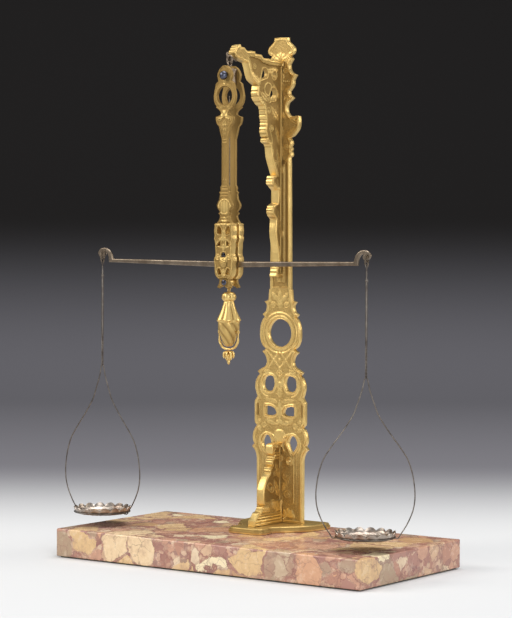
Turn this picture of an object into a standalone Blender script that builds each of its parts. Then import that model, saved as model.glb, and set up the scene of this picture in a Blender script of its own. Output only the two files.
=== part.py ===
"""Apothecary beam balance: gilt bronze pillar and bracket on a marble slab, beam hung in pierced shears.

Metres, +Z up. X runs along the slab's long side, Y goes back, and the origin is under the slab's middle.
"""
import math

import bmesh
import bpy
from mathutils import Matrix, Vector

for old in list(bpy.data.objects):
    bpy.data.objects.remove(old)

# Clearances
SEAT_GAP = 0.0003
BORE_GAP = 0.0003
CUT_OVERRUN = 0.002
WELD = 0.000002

# Marble slab and the baize under it
SLAB_LENGTH = 0.440
SLAB_DEPTH = 0.215
SLAB_THICKNESS = 0.0335
SLAB_EDGE_ROUND = 0.0010
BAIZE_THICKNESS = 0.0012
BAIZE_INSET = 0.004

# Foot plate, and the instrument's own middle plane
STAND_X = -0.008
FOOT_HALF_WIDTH = 0.055
FOOT_FRONT_Y = -0.014
FOOT_DEPTH = 0.110
FOOT_THICKNESS = 0.0067

# Pillar plate
PILLAR_FRONT_Y = 0.0603
PILLAR_THICKNESS = 0.0060
PILLAR_HALF_WIDTH = 0.0412
PILLAR_HEIGHT = 0.5878
PILLAR_PANEL_DEPTH = 0.0012

# Upper bracket and lower gusset, both standing forward of the pillar
WEB_THICKNESS = 0.0050
BORDER_WIDTH = 0.0094
BRACKET_FORWARD = 0.1005
BRACKET_BOTTOM_Z = 0.3407
BRACKET_HEIGHT = 0.2749
GUSSET_FORWARD = 0.0573
GUSSET_HEIGHT = 0.0970

# Screws
SMALL_SHANK_RADIUS = 0.0012
SMALL_HEAD_RADIUS = 0.0030
SMALL_HEAD_THICKNESS = 0.0015
SMALL_SCREW_GRIP = 0.0095
BASE_SHANK_RADIUS = 0.0021
BASE_HEAD_RADIUS = 0.0050
BASE_HEAD_THICKNESS = 0.0040
BASE_SCREW_GRIP = 0.0040

# Bracket hook and suspension link
BALANCE_Y = -0.0435
HOOK_Z = 0.5980
HOOK_WIRE_RADIUS = 0.0012
HOOK_REACH = 0.0130
HOOK_LIP = 0.0050
HOOK_RISE = 0.0063
LINK_WIRE_RADIUS = 0.0015
LINK_WIDTH = 0.0100
LINK_HEIGHT = 0.0120

# Shears: two pierced cheeks, kept apart by an eye block above and below
CHEEK_HALF_WIDTH = 0.01598
CHEEK_TOP_Z = 0.5896
CHEEK_HEIGHT = 0.2607
CHEEK_BOTTOM_Z = CHEEK_TOP_Z - CHEEK_HEIGHT
CHEEK_INNER_Y = 0.00595
SHAFT_THICKNESS = 0.0033
HEAD_THICKNESS = 0.0040
BOX_INNER_Y = 0.00265
BOX_OUTER_Y = 0.0115
WINDOW_SHARE = 0.8638
WINDOW_Z = CHEEK_BOTTOM_Z + WINDOW_SHARE * CHEEK_HEIGHT
WINDOW_RADIUS = 0.0108
BOSS_SHARE = 0.1089
BOSS_Z = CHEEK_BOTTOM_Z + BOSS_SHARE * CHEEK_HEIGHT
BOSS_RADIUS = 0.0050
BOSS_RISE = 0.0020
EYE_MAJOR_RADIUS = 0.0029
EYE_WIRE_RADIUS = 0.0010
TOP_BLOCK_HALF_WIDTH = 0.0063
TOP_BLOCK_BOTTOM_DROP = 0.0216
TOP_BLOCK_TOP_DROP = 0.0034
TOP_BOLT_DROP = 0.0117
TOP_BLOCK_BOTTOM_Z = CHEEK_TOP_Z - TOP_BLOCK_BOTTOM_DROP
TOP_BLOCK_TOP_Z = CHEEK_TOP_Z - TOP_BLOCK_TOP_DROP
TOP_BOLT_Z = CHEEK_TOP_Z - TOP_BOLT_DROP
TOP_BOLT_RADIUS = 0.0018
TOP_HEAD_RADIUS = 0.0053
TOP_HEAD_RISE = 0.0060
TOP_NUT_RADIUS = 0.0044
TOP_NUT_THICKNESS = 0.0034
LOW_BOLT_RISE = 0.0068
LOW_BOLT_Z = CHEEK_BOTTOM_Z + LOW_BOLT_RISE
LOW_BOLT_RADIUS = 0.0014
LOW_HEAD_RADIUS = 0.0035
LOW_HEAD_RISE = 0.0018
LOW_NUT_THICKNESS = 0.0022
LOW_SPACER_RADIUS = 0.0043
PENDANT_EYE_MAJOR = 0.0021
PENDANT_EYE_WIRE = 0.0007
PENDANT_EYE_RISE = 0.0003
PENDANT_EYE_Z = CHEEK_BOTTOM_Z + PENDANT_EYE_RISE

# Beam, knife edge and tongue
PIVOT_SHARE = 0.1496
PIVOT_Z = CHEEK_BOTTOM_Z + PIVOT_SHARE * CHEEK_HEIGHT
ARM_LENGTH = 0.1929
BEAM_THICKNESS = 0.0040
BEAM_BOTTOM_DROP = 0.0146
BEAM_TOP_DROP = 0.0076
BEAM_MIDDLE_BOTTOM_Z = PIVOT_Z - BEAM_BOTTOM_DROP
BEAM_MIDDLE_TOP_Z = PIVOT_Z - BEAM_TOP_DROP
NECK_SIZE = 0.0220
BEAM_BOSS_HALF_WIDTH = 0.0070
BEAM_BOSS_RISE = 0.0076
BEAM_BOSS_TOP_Z = PIVOT_Z + BEAM_BOSS_RISE
KNIFE_HALF_WIDTH = 0.0016
KNIFE_HEIGHT = 0.0024
KNIFE_HALF_LENGTH = 0.0112
BEARING_HALF_WIDTH = 0.0027
BEARING_HEIGHT = 0.0015
ARCH_HALF_WIDTH = 0.0030
ARCH_RISE = 0.0031
ARCH_TOP_Z = PIVOT_Z + ARCH_RISE
TONGUE_RISE = 0.0002
TONGUE_TOP_Z = WINDOW_Z + TONGUE_RISE
TONGUE_HALF_WIDTH = 0.0017
TONGUE_THICKNESS = 0.0012

# End hooks: a fork over the beam's end pin with a ring below it
END_PIN_DROP = 0.0006
END_PIN_Z = PIVOT_Z - END_PIN_DROP
END_PIN_RADIUS = 0.0011
END_PIN_HEAD_RADIUS = 0.0019
END_PIN_HEAD_RISE = 0.0007
FORK_RADIUS = 0.0034
FORK_THICKNESS = 0.0009
FORK_GAP = 0.0004
FORK_LEG_HALF_WIDTH = 0.0010
END_RING_DROP = 0.0079
END_RING_Z = PIVOT_Z - END_RING_DROP
END_RING_MAJOR = 0.0022
END_RING_WIRE = 0.0008

# Bows, pan rings and pans
BOW_EYE_MAJOR = 0.0020
BOW_EYE_WIRE = 0.0007
STEM_RADIUS = 0.0015
STEM_BEAD_RADIUS = 0.0022
STEM_BEAD_DROP = 0.0150
BOW_SPLIT_Z = 0.2292
BOW_HALF_WIDTH = 0.0560
BOW_WIRE_RADIUS = 0.0007
PAN_RING_Z = 0.0512
PAN_RING_RADIUS = 0.0340
PAN_RING_WIRE = 0.0008
LEFT_BOW_TURN = math.radians(4.0)
RIGHT_BOW_TURN = math.radians(36.0)
PAN_WALL = 0.0009
PAN_RIM_RADIUS = 0.0352
PAN_HEIGHT = 0.0091
PAN_SINK = 0.0026
SCALLOP_RISE = 0.0034
SCALLOPS = 16

# Pendant ornament
PENDANT_RADIUS = 0.0141
PENDANT_DROP = 0.0691
PENDANT_BOTTOM_Z = CHEEK_BOTTOM_Z - PENDANT_DROP
PENDANT_HEIGHT = 0.0649
DROP_RING_PIVOT_RISE = 0.0176
DROP_RING_PIVOT_Z = PENDANT_BOTTOM_Z + DROP_RING_PIVOT_RISE
DROP_RING_HALF_WIDTH = 0.0141
DROP_RING_SINK = 0.0026
DROP_RING_BOTTOM_Z = PENDANT_BOTTOM_Z - DROP_RING_SINK
DROP_RING_WIRE = 0.0011
TRUNNION_RADIUS = 0.0009
LEAF_DROP_RADIUS = 0.0074
LEAF_DROP_LENGTH = 0.0172

# Seats that follow from the sizes above
SLAB_BOTTOM_Z = BAIZE_THICKNESS + SEAT_GAP
SLAB_TOP_Z = SLAB_BOTTOM_Z + SLAB_THICKNESS
FOOT_BOTTOM_Z = SLAB_TOP_Z + SEAT_GAP
FOOT_TOP_Z = FOOT_BOTTOM_Z + FOOT_THICKNESS
STAND_Z = FOOT_TOP_Z + SEAT_GAP
PILLAR_BACK_Y = PILLAR_FRONT_Y + PILLAR_THICKNESS

# Outlines: rows of (share across, share up), and a third entry where the line runs on round
PILLAR_OUTLINE_SHARES = [
    (0.820, 0.000), (0.820, 0.128, 1), (0.841, 0.138, 1), (0.902, 0.147, 1), (1.000, 0.153),
    (0.915, 0.160), (0.963, 0.167, 1), (0.971, 0.177, 1), (0.939, 0.186, 1), (0.878, 0.194, 1),
    (0.817, 0.198), (0.890, 0.203), (0.902, 0.208), (0.902, 0.249), (0.805, 0.259),
    (0.841, 0.266, 1), (0.883, 0.278, 1), (0.866, 0.290, 1), (0.793, 0.300, 1), (0.720, 0.305),
    (0.805, 0.311), (0.659, 0.317, 1), (0.524, 0.322, 1), (0.466, 0.331, 1), (0.488, 0.340, 1),
    (0.537, 0.346, 1), (0.634, 0.352), (0.500, 0.358), (0.622, 0.365, 1), (0.702, 0.377, 1),
    (0.717, 0.392, 1), (0.690, 0.408, 1), (0.610, 0.420, 1), (0.549, 0.424), (0.634, 0.430),
    (0.512, 0.436, 1), (0.476, 0.449, 1), (0.561, 0.456), (0.415, 0.459), (0.402, 0.469, 1),
    (0.390, 0.481), (0.359, 0.483), (0.359, 0.498, 1), (0.322, 0.746, 1), (0.317, 0.753),
    (0.395, 0.756), (0.395, 0.761, 1), (0.354, 0.767), (0.395, 0.770), (0.354, 0.776),
    (0.395, 0.780), (0.390, 0.786), (0.317, 0.794), (0.439, 0.797, 1), (0.537, 0.804, 1),
    (0.629, 0.812, 1), (0.663, 0.823, 1), (0.659, 0.831, 1), (0.639, 0.838), (0.537, 0.838, 1),
    (0.354, 0.837, 1), (0.232, 0.846, 1), (0.212, 0.857, 1), (0.256, 0.866, 1), (0.341, 0.870, 1),
    (0.432, 0.875), (0.298, 0.883), (0.298, 0.889), (0.398, 0.897, 1), (0.439, 0.903, 1),
    (0.444, 0.911, 1), (0.483, 0.917, 1), (0.541, 0.922), (0.383, 0.927, 1), (0.310, 0.935, 1),
    (0.298, 0.944, 1), (0.346, 0.949, 1), (0.402, 0.955), (0.317, 0.962), (0.415, 0.965, 1),
    (0.463, 0.971, 1), (0.446, 0.978, 1), (0.354, 0.985, 1), (0.280, 0.989, 1), (0.244, 0.993, 1),
    (0.232, 0.999), (0.000, 1.000),
]
RING_HOLE_SHARE = (0.0, 0.3916)
RING_HOLE_RADIUS_SHARE = 0.415
KIDNEY_OUTLINE_SHARES = [
    (0.180, 0.288, 1), (0.240, 0.301, 1), (0.390, 0.303, 1), (0.560, 0.298, 1), (0.610, 0.286, 1),
    (0.560, 0.274, 1), (0.400, 0.270, 1), (0.250, 0.273, 1),
]
LEAF_SLOT_OUTLINE_SHARES = [
    (0.115, 0.226, 1), (0.200, 0.236, 1), (0.400, 0.240, 1), (0.525, 0.239), (0.525, 0.221),
    (0.360, 0.220, 1), (0.200, 0.221, 1),
]
TEAR_OUTLINE_SHARES = [
    (0.290, 0.166, 1), (0.370, 0.177, 1), (0.463, 0.180, 1), (0.560, 0.177, 1), (0.640, 0.166, 1),
    (0.590, 0.154, 1), (0.440, 0.143), (0.360, 0.152, 1),
]
SHAFT_PANEL_OUTLINE_SHARES = [
    (0.270, 0.486), (0.270, 0.500, 1), (0.232, 0.740, 1), (0.150, 0.747, 1), (0.000, 0.749),
]
SHAFT_PANEL_STRIP_SHARE = 0.120
PLINTH_NOTCH_SHARE = (0.354, 0.127)
PLINTH_NOTCH_RADIUS_SHARE = 0.050

BRACKET_OUTLINE_SHARES = [
    (0.000, 0.947), (0.270, 0.947), (0.300, 0.952, 1), (0.410, 0.952, 1), (0.450, 0.965),
    (0.580, 0.967), (0.580, 0.976), (0.670, 0.977, 1), (0.720, 0.974, 1), (0.770, 0.980, 1),
    (0.800, 0.989), (0.860, 0.989), (0.870, 1.000), (0.930, 0.993, 1), (0.960, 0.980, 1),
    (1.000, 0.962), (0.970, 0.947, 1), (0.890, 0.936, 1), (0.730, 0.925), (0.700, 0.903, 1),
    (0.670, 0.874, 1), (0.630, 0.852, 1), (0.530, 0.834), (0.530, 0.823), (0.540, 0.808, 1),
    (0.540, 0.786, 1), (0.520, 0.771, 1), (0.450, 0.750, 1), (0.400, 0.744), (0.380, 0.720, 1),
    (0.375, 0.698), (0.360, 0.676, 1), (0.365, 0.654, 1), (0.375, 0.636, 1), (0.350, 0.614),
    (0.330, 0.609), (0.355, 0.592, 1), (0.280, 0.578), (0.260, 0.563, 1), (0.245, 0.527, 1),
    (0.190, 0.483, 1), (0.140, 0.446), (0.210, 0.444), (0.224, 0.428, 1), (0.230, 0.410, 1),
    (0.180, 0.395, 1), (0.120, 0.380), (0.110, 0.362, 1), (0.110, 0.325), (0.180, 0.318, 1),
    (0.215, 0.303, 1), (0.225, 0.289, 1), (0.210, 0.272, 1), (0.150, 0.254), (0.150, 0.239),
    (0.160, 0.197, 1), (0.135, 0.150, 1), (0.100, 0.106, 1), (0.100, 0.051, 1), (0.120, 0.040),
    (0.135, 0.029, 1), (0.140, 0.015), (0.155, 0.000), (0.000, 0.000),
]
BRACKET_POCKET_SHARES = [
    (-0.050, 0.925), (0.250, 0.925, 1), (0.410, 0.932, 1), (0.470, 0.943, 1), (0.610, 0.951, 1),
    (0.690, 0.952), (0.660, 0.925, 1), (0.610, 0.885, 1), (0.560, 0.863, 1), (0.470, 0.845),
    (0.480, 0.812, 1), (0.480, 0.786, 1), (0.430, 0.768, 1), (0.350, 0.761), (0.320, 0.720, 1),
    (0.310, 0.676, 1), (0.320, 0.640, 1), (0.290, 0.603, 1), (0.220, 0.589), (0.190, 0.530, 1),
    (0.130, 0.486, 1), (0.070, 0.442), (0.160, 0.431, 1), (0.170, 0.417, 1), (0.070, 0.395),
    (0.055, 0.362, 1), (0.055, 0.318), (0.150, 0.303, 1), (0.170, 0.289, 1), (0.150, 0.274, 1),
    (0.100, 0.260), (0.105, 0.197, 1), (0.080, 0.154, 1), (0.050, 0.110, 1), (0.050, 0.055, 1),
    (0.080, 0.033), (0.080, 0.015), (-0.050, 0.015),
]
BRACKET_TREFOIL_SHARES = [
    (0.300, 0.887, 1), (0.340, 0.905, 1), (0.390, 0.904, 1), (0.405, 0.887, 1), (0.430, 0.861),
    (0.375, 0.868, 1), (0.320, 0.872, 1),
]
BRACKET_OVAL_SHARES = [(0.120, 0.883, 1), (0.160, 0.898, 1), (0.200, 0.883, 1), (0.160, 0.868, 1)]
BRACKET_LOW_TREFOIL_SHARES = [
    (0.120, 0.797, 1), (0.150, 0.821, 1), (0.210, 0.823, 1), (0.240, 0.799, 1), (0.262, 0.768),
    (0.210, 0.776, 1), (0.150, 0.776, 1),
]

GUSSET_OUTLINE_SHARES = [
    (0.000, 1.000), (0.263, 1.000), (0.351, 0.990, 1), (0.377, 0.948, 1), (0.368, 0.876),
    (0.316, 0.855), (0.316, 0.824), (0.368, 0.798, 1), (0.386, 0.751, 1), (0.351, 0.715),
    (0.430, 0.705, 1), (0.447, 0.668, 1), (0.439, 0.637), (0.526, 0.596, 1), (0.614, 0.523, 1),
    (0.675, 0.440, 1), (0.693, 0.347, 1), (0.679, 0.264, 1), (0.649, 0.233), (0.702, 0.223),
    (0.772, 0.171, 1), (0.842, 0.166), (0.877, 0.140, 1), (0.947, 0.098), (0.982, 0.083, 1),
    (1.000, 0.073), (1.000, 0.000), (0.000, 0.000),
]
GUSSET_POCKET_SHARES = [
    (-0.088, 0.943), (0.228, 0.938, 1), (0.281, 0.896), (0.228, 0.845), (0.281, 0.762),
    (0.281, 0.710), (0.351, 0.668), (0.430, 0.617, 1), (0.526, 0.534, 1), (0.588, 0.440, 1),
    (0.605, 0.347, 1), (0.579, 0.285), (-0.088, 0.285),
]
GUSSET_DIAMOND_SHARES = [(0.332, 0.466), (0.402, 0.497), (0.472, 0.466), (0.402, 0.435)]

CHEEK_OUTLINE_SHARES = [
    (0.000, 1.000, 1), (0.189, 0.998, 1), (0.472, 0.984, 1), (0.629, 0.967, 1), (0.673, 0.955, 1),
    (0.616, 0.940, 1), (0.566, 0.930), (0.805, 0.919), (0.912, 0.890, 1), (1.000, 0.863, 1),
    (0.925, 0.834, 1), (0.723, 0.816), (0.805, 0.813), (0.597, 0.805, 1), (0.409, 0.795, 1),
    (0.346, 0.786, 1), (0.409, 0.778, 1), (0.805, 0.770), (0.805, 0.759, 1), (0.711, 0.739, 1),
    (0.535, 0.728), (0.453, 0.705, 1), (0.283, 0.670), (0.283, 0.466), (0.390, 0.452, 1),
    (0.358, 0.439), (0.503, 0.431), (0.421, 0.423), (0.491, 0.400, 1), (0.704, 0.377, 1),
    (0.667, 0.362, 1), (0.421, 0.344), (0.566, 0.337), (0.415, 0.327), (0.453, 0.315, 1),
    (0.547, 0.304, 1), (0.723, 0.292), (0.836, 0.288), (0.805, 0.281, 1), (0.849, 0.258, 1),
    (0.799, 0.238), (0.855, 0.223), (0.767, 0.207, 1), (0.742, 0.177, 1), (0.711, 0.153, 1),
    (0.830, 0.138), (0.849, 0.125, 1), (0.818, 0.111, 1), (0.792, 0.088, 1), (0.767, 0.069, 1),
    (0.692, 0.057, 1), (0.516, 0.045, 1), (0.453, 0.038), (0.503, 0.020, 1), (0.648, 0.005, 1),
    (0.472, 0.000, 1), (0.314, 0.005), (0.000, 0.011),
]
HEAD_FROM_SHARE = 0.728
BOX_TOP_SHARE = 0.292
CHEEK_KIDNEY_SHARES = [
    (0.190, 0.246, 1), (0.250, 0.270, 1), (0.430, 0.279, 1), (0.580, 0.268, 1), (0.560, 0.250, 1),
    (0.380, 0.243, 1),
]
CHEEK_CROSS_SHARES = [(0.260, 0.214), (0.440, 0.206), (0.620, 0.190), (0.440, 0.192), (0.280, 0.191)]
CHEEK_SLANT_SHARES = [(0.200, 0.064), (0.360, 0.089, 1), (0.560, 0.082, 1), (0.450, 0.062, 1)]

FOOT_OUTLINE_SHARES = [
    (0.000, 0.000), (0.282, 0.000), (0.418, 0.023, 1), (0.473, 0.073, 1), (0.473, 0.155, 1),
    (0.427, 0.236), (0.545, 0.327, 1), (0.691, 0.400, 1), (0.836, 0.482), (0.955, 0.600, 1),
    (0.991, 0.745, 1), (1.000, 0.900, 1), (0.936, 1.000), (0.000, 1.000),
]
NECK_OUTLINE_SHARES = [
    (-0.909, 0.183), (-0.501, 0.183), (-0.474, 0.479, 1), (-0.357, 0.708, 1), (-0.203, 0.808),
    (-0.166, 0.640, 1), (-0.121, 0.518, 1), (-0.003, 0.468, 1), (0.114, 0.518, 1), (0.232, 0.600),
    (0.286, 0.708, 1), (0.141, 0.918, 1), (-0.157, 1.000, 1), (-0.501, 0.890, 1), (-0.682, 0.662, 1),
    (-0.755, 0.388),
]
PENDANT_PROFILE_SHARES = [
    (0.000, 1.000), (0.350, 0.992, 1), (0.550, 0.954, 1), (0.610, 0.908, 1), (0.550, 0.855, 1),
    (0.436, 0.832), (0.465, 0.800, 1), (0.550, 0.725, 1), (0.700, 0.634, 1), (0.870, 0.557, 1),
    (1.000, 0.496), (0.920, 0.466), (0.930, 0.405, 1), (0.870, 0.313, 1), (0.756, 0.221, 1),
    (0.610, 0.130, 1), (0.465, 0.053, 1), (0.290, 0.015, 1), (0.000, 0.000),
]
LEAF_DROP_PROFILE_SHARES = [
    (0.000, 1.000), (0.500, 0.980, 1), (0.950, 0.860, 1), (1.000, 0.700, 1), (0.620, 0.520, 1),
    (0.380, 0.360, 1), (0.420, 0.220, 1), (0.260, 0.080, 1), (0.000, 0.000),
]
BOW_PROFILE_SHARES = [
    (0.030, 1.000), (0.080, 0.930), (0.180, 0.837), (0.245, 0.781), (0.350, 0.725), (0.470, 0.668),
    (0.600, 0.612), (0.730, 0.555), (0.840, 0.500), (0.910, 0.443), (0.957, 0.387), (0.985, 0.331),
    (1.000, 0.275), (0.992, 0.218), (0.955, 0.162), (0.882, 0.105), (0.800, 0.057), (0.725, 0.022),
    (0.668, -0.006),
]
PAN_OUTER_PROFILE_SHARES = [
    (0.000, 0.000), (0.680, 0.000), (0.860, 0.090), (0.915, 0.260), (0.950, 0.420), (0.975, 0.610),
    (1.000, 1.000),
]

# Other shares, each of the piece it is named for
BASE_SCREW_DEPTH_SHARES = (0.718, 0.077)
BASE_SCREW_WIDTH_SHARE = 0.81
PILLAR_SCREW_SHARE = 0.62
SHAFT_PANEL_END_SHARE = 0.010
BRACKET_SCREW_SHARES = {
    "bracket_screw_top": 0.88,
    "bracket_screw_middle": 0.47,
    "bracket_screw_low": 0.19,
}
GUSSET_SCREW_SHARES = {"gusset_screw_top": 0.80, "gusset_screw_low": 0.25}
HOOK_ROOT_SHARES = (0.32, 0.70, -0.07, 0.40, 0.08)
HOOK_LIP_SHARES = (0.60, 0.20, 0.55, 0.86)
DOME_SHARES = [(0.97, 0.35), (0.78, 0.70), (0.42, 0.94), (0.00, 1.00)]
EYE_NECK_SHARE = 1.3
BOLT_HEAD_SHARES = [(0.00, 1.00), (0.45, 0.95), (0.82, 0.72), (1.00, 0.40)]
BEAM_BOSS_SHARE = 0.62
TONGUE_POINT_SHARE = 0.25
TIE_SHARE = 0.5
STEM_SHARES = (0.66, 0.66, 0.80)
RING_LANDING_SHARES = (0.60, -1.12)
RIM_FROM_SHARE = 0.45
DROP_RING_SHARES = (0.7, 1.9)

# How finely round things are drawn
CURVE_STEPS = 2
DROP_RING_POINTS = 24
ROUND_SEGMENTS = 28
WIRE_SEGMENTS = 8
PIN_SEGMENTS = 16


def principled(name, colour, roughness, metallic):
    """A plain material with one colour, roughness and metallic value."""
    material = bpy.data.materials.new(name)
    material.use_nodes = True
    shader = material.node_tree.nodes["Principled BSDF"]
    shader.inputs["Base Color"].default_value = (*colour, 1.0)
    shader.inputs["Roughness"].default_value = roughness
    shader.inputs["Metallic"].default_value = metallic
    return material


GILT = principled("gilt_bronze", (0.62, 0.41, 0.13), 0.34, 1.0)
MARBLE = principled("breccia_marble", (0.66, 0.42, 0.27), 0.22, 0.0)
BAIZE = principled("baize", (0.05, 0.09, 0.06), 0.95, 0.0)
STEEL = principled("bright_steel", (0.42, 0.36, 0.29), 0.36, 1.0)
BLUED = principled("blued_steel", (0.05, 0.06, 0.10), 0.30, 1.0)
DARK_WIRE = principled("dark_wire", (0.12, 0.10, 0.09), 0.42, 1.0)
SILVER = principled("silver", (0.72, 0.69, 0.62), 0.28, 1.0)


def in_front(across, up, deep):
    """A plate seen from the front: across is X, up is Z and deep is Y."""
    return Vector((across, deep, up))


def from_side(across, up, deep):
    """A plate seen from the side: across comes forward, up is Z and deep is X."""
    return Vector((deep, -across, up))


def from_above(across, up, deep):
    """A plate seen from above: across is X, up is Y and deep is Z."""
    return Vector((across, up, deep))


def curve_points(before, here, there, after, at_steps, steps):
    """Points between here and there on a smooth curve that also heeds the points before and after."""
    reach = (there - here).length
    leaving = (there - before) * (reach / (reach + (here - before).length))
    arriving = (after - here) * (reach / (reach + (after - there).length))
    points = []
    for step in at_steps:
        t = step / steps
        blend = here * (2 * t**3 - 3 * t**2 + 1) + there * (3 * t**2 - 2 * t**3)
        points.append(blend + leaving * (t**3 - 2 * t**2 + t) + arriving * (t**3 - t**2))
    return points


def traced(rows, width, height, steps=CURVE_STEPS):
    """The closed line through rows of shares: straight at corners, a smooth curve through round rows."""
    points = [Vector((row[0] * width, row[1] * height)) for row in rows]
    is_round = [len(row) > 2 for row in rows]
    count = len(points)
    line = []
    for i in range(count):
        here = points[i]
        there = points[(i + 1) % count]
        line.append(here)
        if not is_round[i] and not is_round[(i + 1) % count]:
            continue
        before = points[i - 1] if is_round[i] else here
        after = points[(i + 2) % count] if is_round[(i + 1) % count] else there
        line += curve_points(before, here, there, after, range(1, steps), steps)
    return line


def both_sides(rows):
    """Rows of one half, closed with the same rows on the other side of the middle line."""
    mirrored = [(-row[0], *row[1:]) for row in reversed(rows) if row[0] > 0]
    return list(rows) + mirrored


def mirrored_line(line):
    """The same line on the other side of the middle line."""
    return [Vector((-point.x, point.y)) for point in reversed(line)]


def round_line(centre, radius, segments=ROUND_SEGMENTS):
    """A circle's points."""
    turns = [2 * math.pi * k / segments for k in range(segments)]
    return [Vector((centre[0] + radius * math.cos(a), centre[1] + radius * math.sin(a))) for a in turns]


def box_line(left, right, bottom, top):
    """A rectangle's points."""
    return [Vector((left, bottom)), Vector((right, bottom)), Vector((right, top)), Vector((left, top))]


def add_prism(bm, lines, near, far, view):
    """Add a plate to bm: the first line is its edge, the others are holes, from near to far in depth."""
    edges = []
    for line in lines:
        corners = [bm.verts.new(view(point.x, point.y, near)) for point in line]
        edges += [bm.edges.new((corners[i - 1], corners[i])) for i in range(len(corners))]
    filled = bmesh.ops.triangle_fill(bm, use_beauty=True, use_dissolve=False, edges=edges)
    faces = [item for item in filled["geom"] if isinstance(item, bmesh.types.BMFace)]
    grown = bmesh.ops.extrude_face_region(bm, geom=faces, use_keep_orig=True)
    moved = [item for item in grown["geom"] if isinstance(item, bmesh.types.BMVert)]
    bmesh.ops.translate(bm, verts=moved, vec=view(0, 0, far) - view(0, 0, near))


def bridge_rings(bm, rings, segments):
    """Faces between rings of points, where a ring can be one point on the axis."""
    for low, high in zip(rings, rings[1:]):
        for k in range(segments):
            after = (k + 1) % segments
            corners = [low[k % len(low)], low[after % len(low)]]
            corners += [high[after % len(high)], high[k % len(high)]]
            bm.faces.new(list(dict.fromkeys(corners)))


def add_lathe(bm, profile, centre, axis="Z", segments=ROUND_SEGMENTS):
    """Add a turned solid to bm: a profile of (radius, along) points that begins and ends on the axis."""
    turn = {"Z": Matrix.Identity(3), "Y": Matrix.Rotation(-math.pi / 2, 3, "X")}[axis]
    rings = []
    for radius, along in profile:
        if radius == 0:
            rings.append([bm.verts.new(Vector(centre) + turn @ Vector((0, 0, along)))])
            continue
        ring = []
        for k in range(segments):
            angle = 2 * math.pi * k / segments
            spot = Vector((radius * math.cos(angle), radius * math.sin(angle), along))
            ring.append(bm.verts.new(Vector(centre) + turn @ spot))
        rings.append(ring)
    bridge_rings(bm, rings, segments)


def add_tube(bm, path, radii, segments=WIRE_SEGMENTS, closed=False):
    """Add a round bar to bm along a path of points, with a radius at each point."""
    count = len(path)
    rings = []
    side = None
    for i, here in enumerate(path):
        before = path[i - 1] if i or closed else here
        after = path[(i + 1) % count] if i + 1 < count or closed else here
        along = (after - before).normalized()
        if side is None:
            side = along.orthogonal().normalized()
        side = (side - along * side.dot(along)).normalized()
        other = along.cross(side)
        turns = [2 * math.pi * k / segments for k in range(segments)]
        spokes = [side * math.cos(a) + other * math.sin(a) for a in turns]
        rings.append([bm.verts.new(here + radii[i] * spoke) for spoke in spokes])
    pairs = list(zip(rings, rings[1:]))
    if closed:
        pairs.append((rings[-1], rings[0]))
    for low, high in pairs:
        for k in range(segments):
            after = (k + 1) % segments
            bm.faces.new((low[k], low[after], high[after], high[k]))
    if not closed:
        bm.faces.new(rings[0])
        bm.faces.new(rings[-1])


def ring_path(centre, radius, across, up, count):
    """Points round a circle in the plane of the unit vectors across and up."""
    turns = [2 * math.pi * k / count for k in range(count)]
    return [Vector(centre) + radius * (across * math.cos(a) + up * math.sin(a)) for a in turns]


def add_ring(bm, centre, radius, wire, plane, count=18, segments=WIRE_SEGMENTS):
    """Add a torus to bm in the plane XZ, YZ or XY."""
    axes = {"X": Vector((1, 0, 0)), "Y": Vector((0, 1, 0)), "Z": Vector((0, 0, 1))}
    path = ring_path(centre, radius, axes[plane[0]], axes[plane[1]], count)
    add_tube(bm, path, [wire] * count, segments, closed=True)


def finish(name, bm, material, origin=(0, 0, 0), smooth=False):
    """Turn bm into an object with its origin at the given place."""
    bmesh.ops.recalc_face_normals(bm, faces=bm.faces)
    bmesh.ops.translate(bm, verts=bm.verts, vec=-Vector(origin))
    mesh = bpy.data.meshes.new(name)
    bm.to_mesh(mesh)
    bm.free()
    mesh.materials.append(material)
    if smooth:
        mesh.shade_smooth()
    obj = bpy.data.objects.new(name, mesh)
    obj.location = origin
    bpy.context.collection.objects.link(obj)
    return obj


def combine(target, bm, operation):
    """Cut bm out of the target, or join it on, and keep the result as the target's own mesh."""
    tool = finish("tool", bm, target.data.materials[0])
    modifier = target.modifiers.new("shape", "BOOLEAN")
    modifier.operation = operation
    modifier.object = tool
    depsgraph = bpy.context.evaluated_depsgraph_get()
    result = bpy.data.meshes.new_from_object(target.evaluated_get(depsgraph))
    target.modifiers.clear()
    target.data = result
    result.name = target.name
    bpy.data.objects.remove(tool)
    tidy = bmesh.new()
    tidy.from_mesh(result)
    bmesh.ops.triangulate(tidy, faces=tidy.faces)
    bmesh.ops.remove_doubles(tidy, verts=tidy.verts, dist=WELD)
    bmesh.ops.dissolve_degenerate(tidy, edges=tidy.edges, dist=WELD)
    tidy.to_mesh(result)
    tidy.free()
    return target


def cut(target, bm):
    return combine(target, bm, "DIFFERENCE")


def join(target, bm):
    return combine(target, bm, "UNION")


def plate(name, lines, near, far, view, material, origin=(0, 0, 0)):
    """A plate as an object of its own."""
    bm = bmesh.new()
    add_prism(bm, lines, near, far, view)
    return finish(name, bm, material, origin)


def moved_line(line, across, up):
    """A line shifted in its own plane."""
    return [Vector((point.x + across, point.y + up)) for point in line]


def add_pin(bm, centre, radius, start, end, axis, segments=PIN_SEGMENTS):
    """Add a plain round pin from start to end along the axis."""
    add_lathe(bm, [(0, start), (radius, start), (radius, end), (0, end)], centre, axis, segments)


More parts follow.
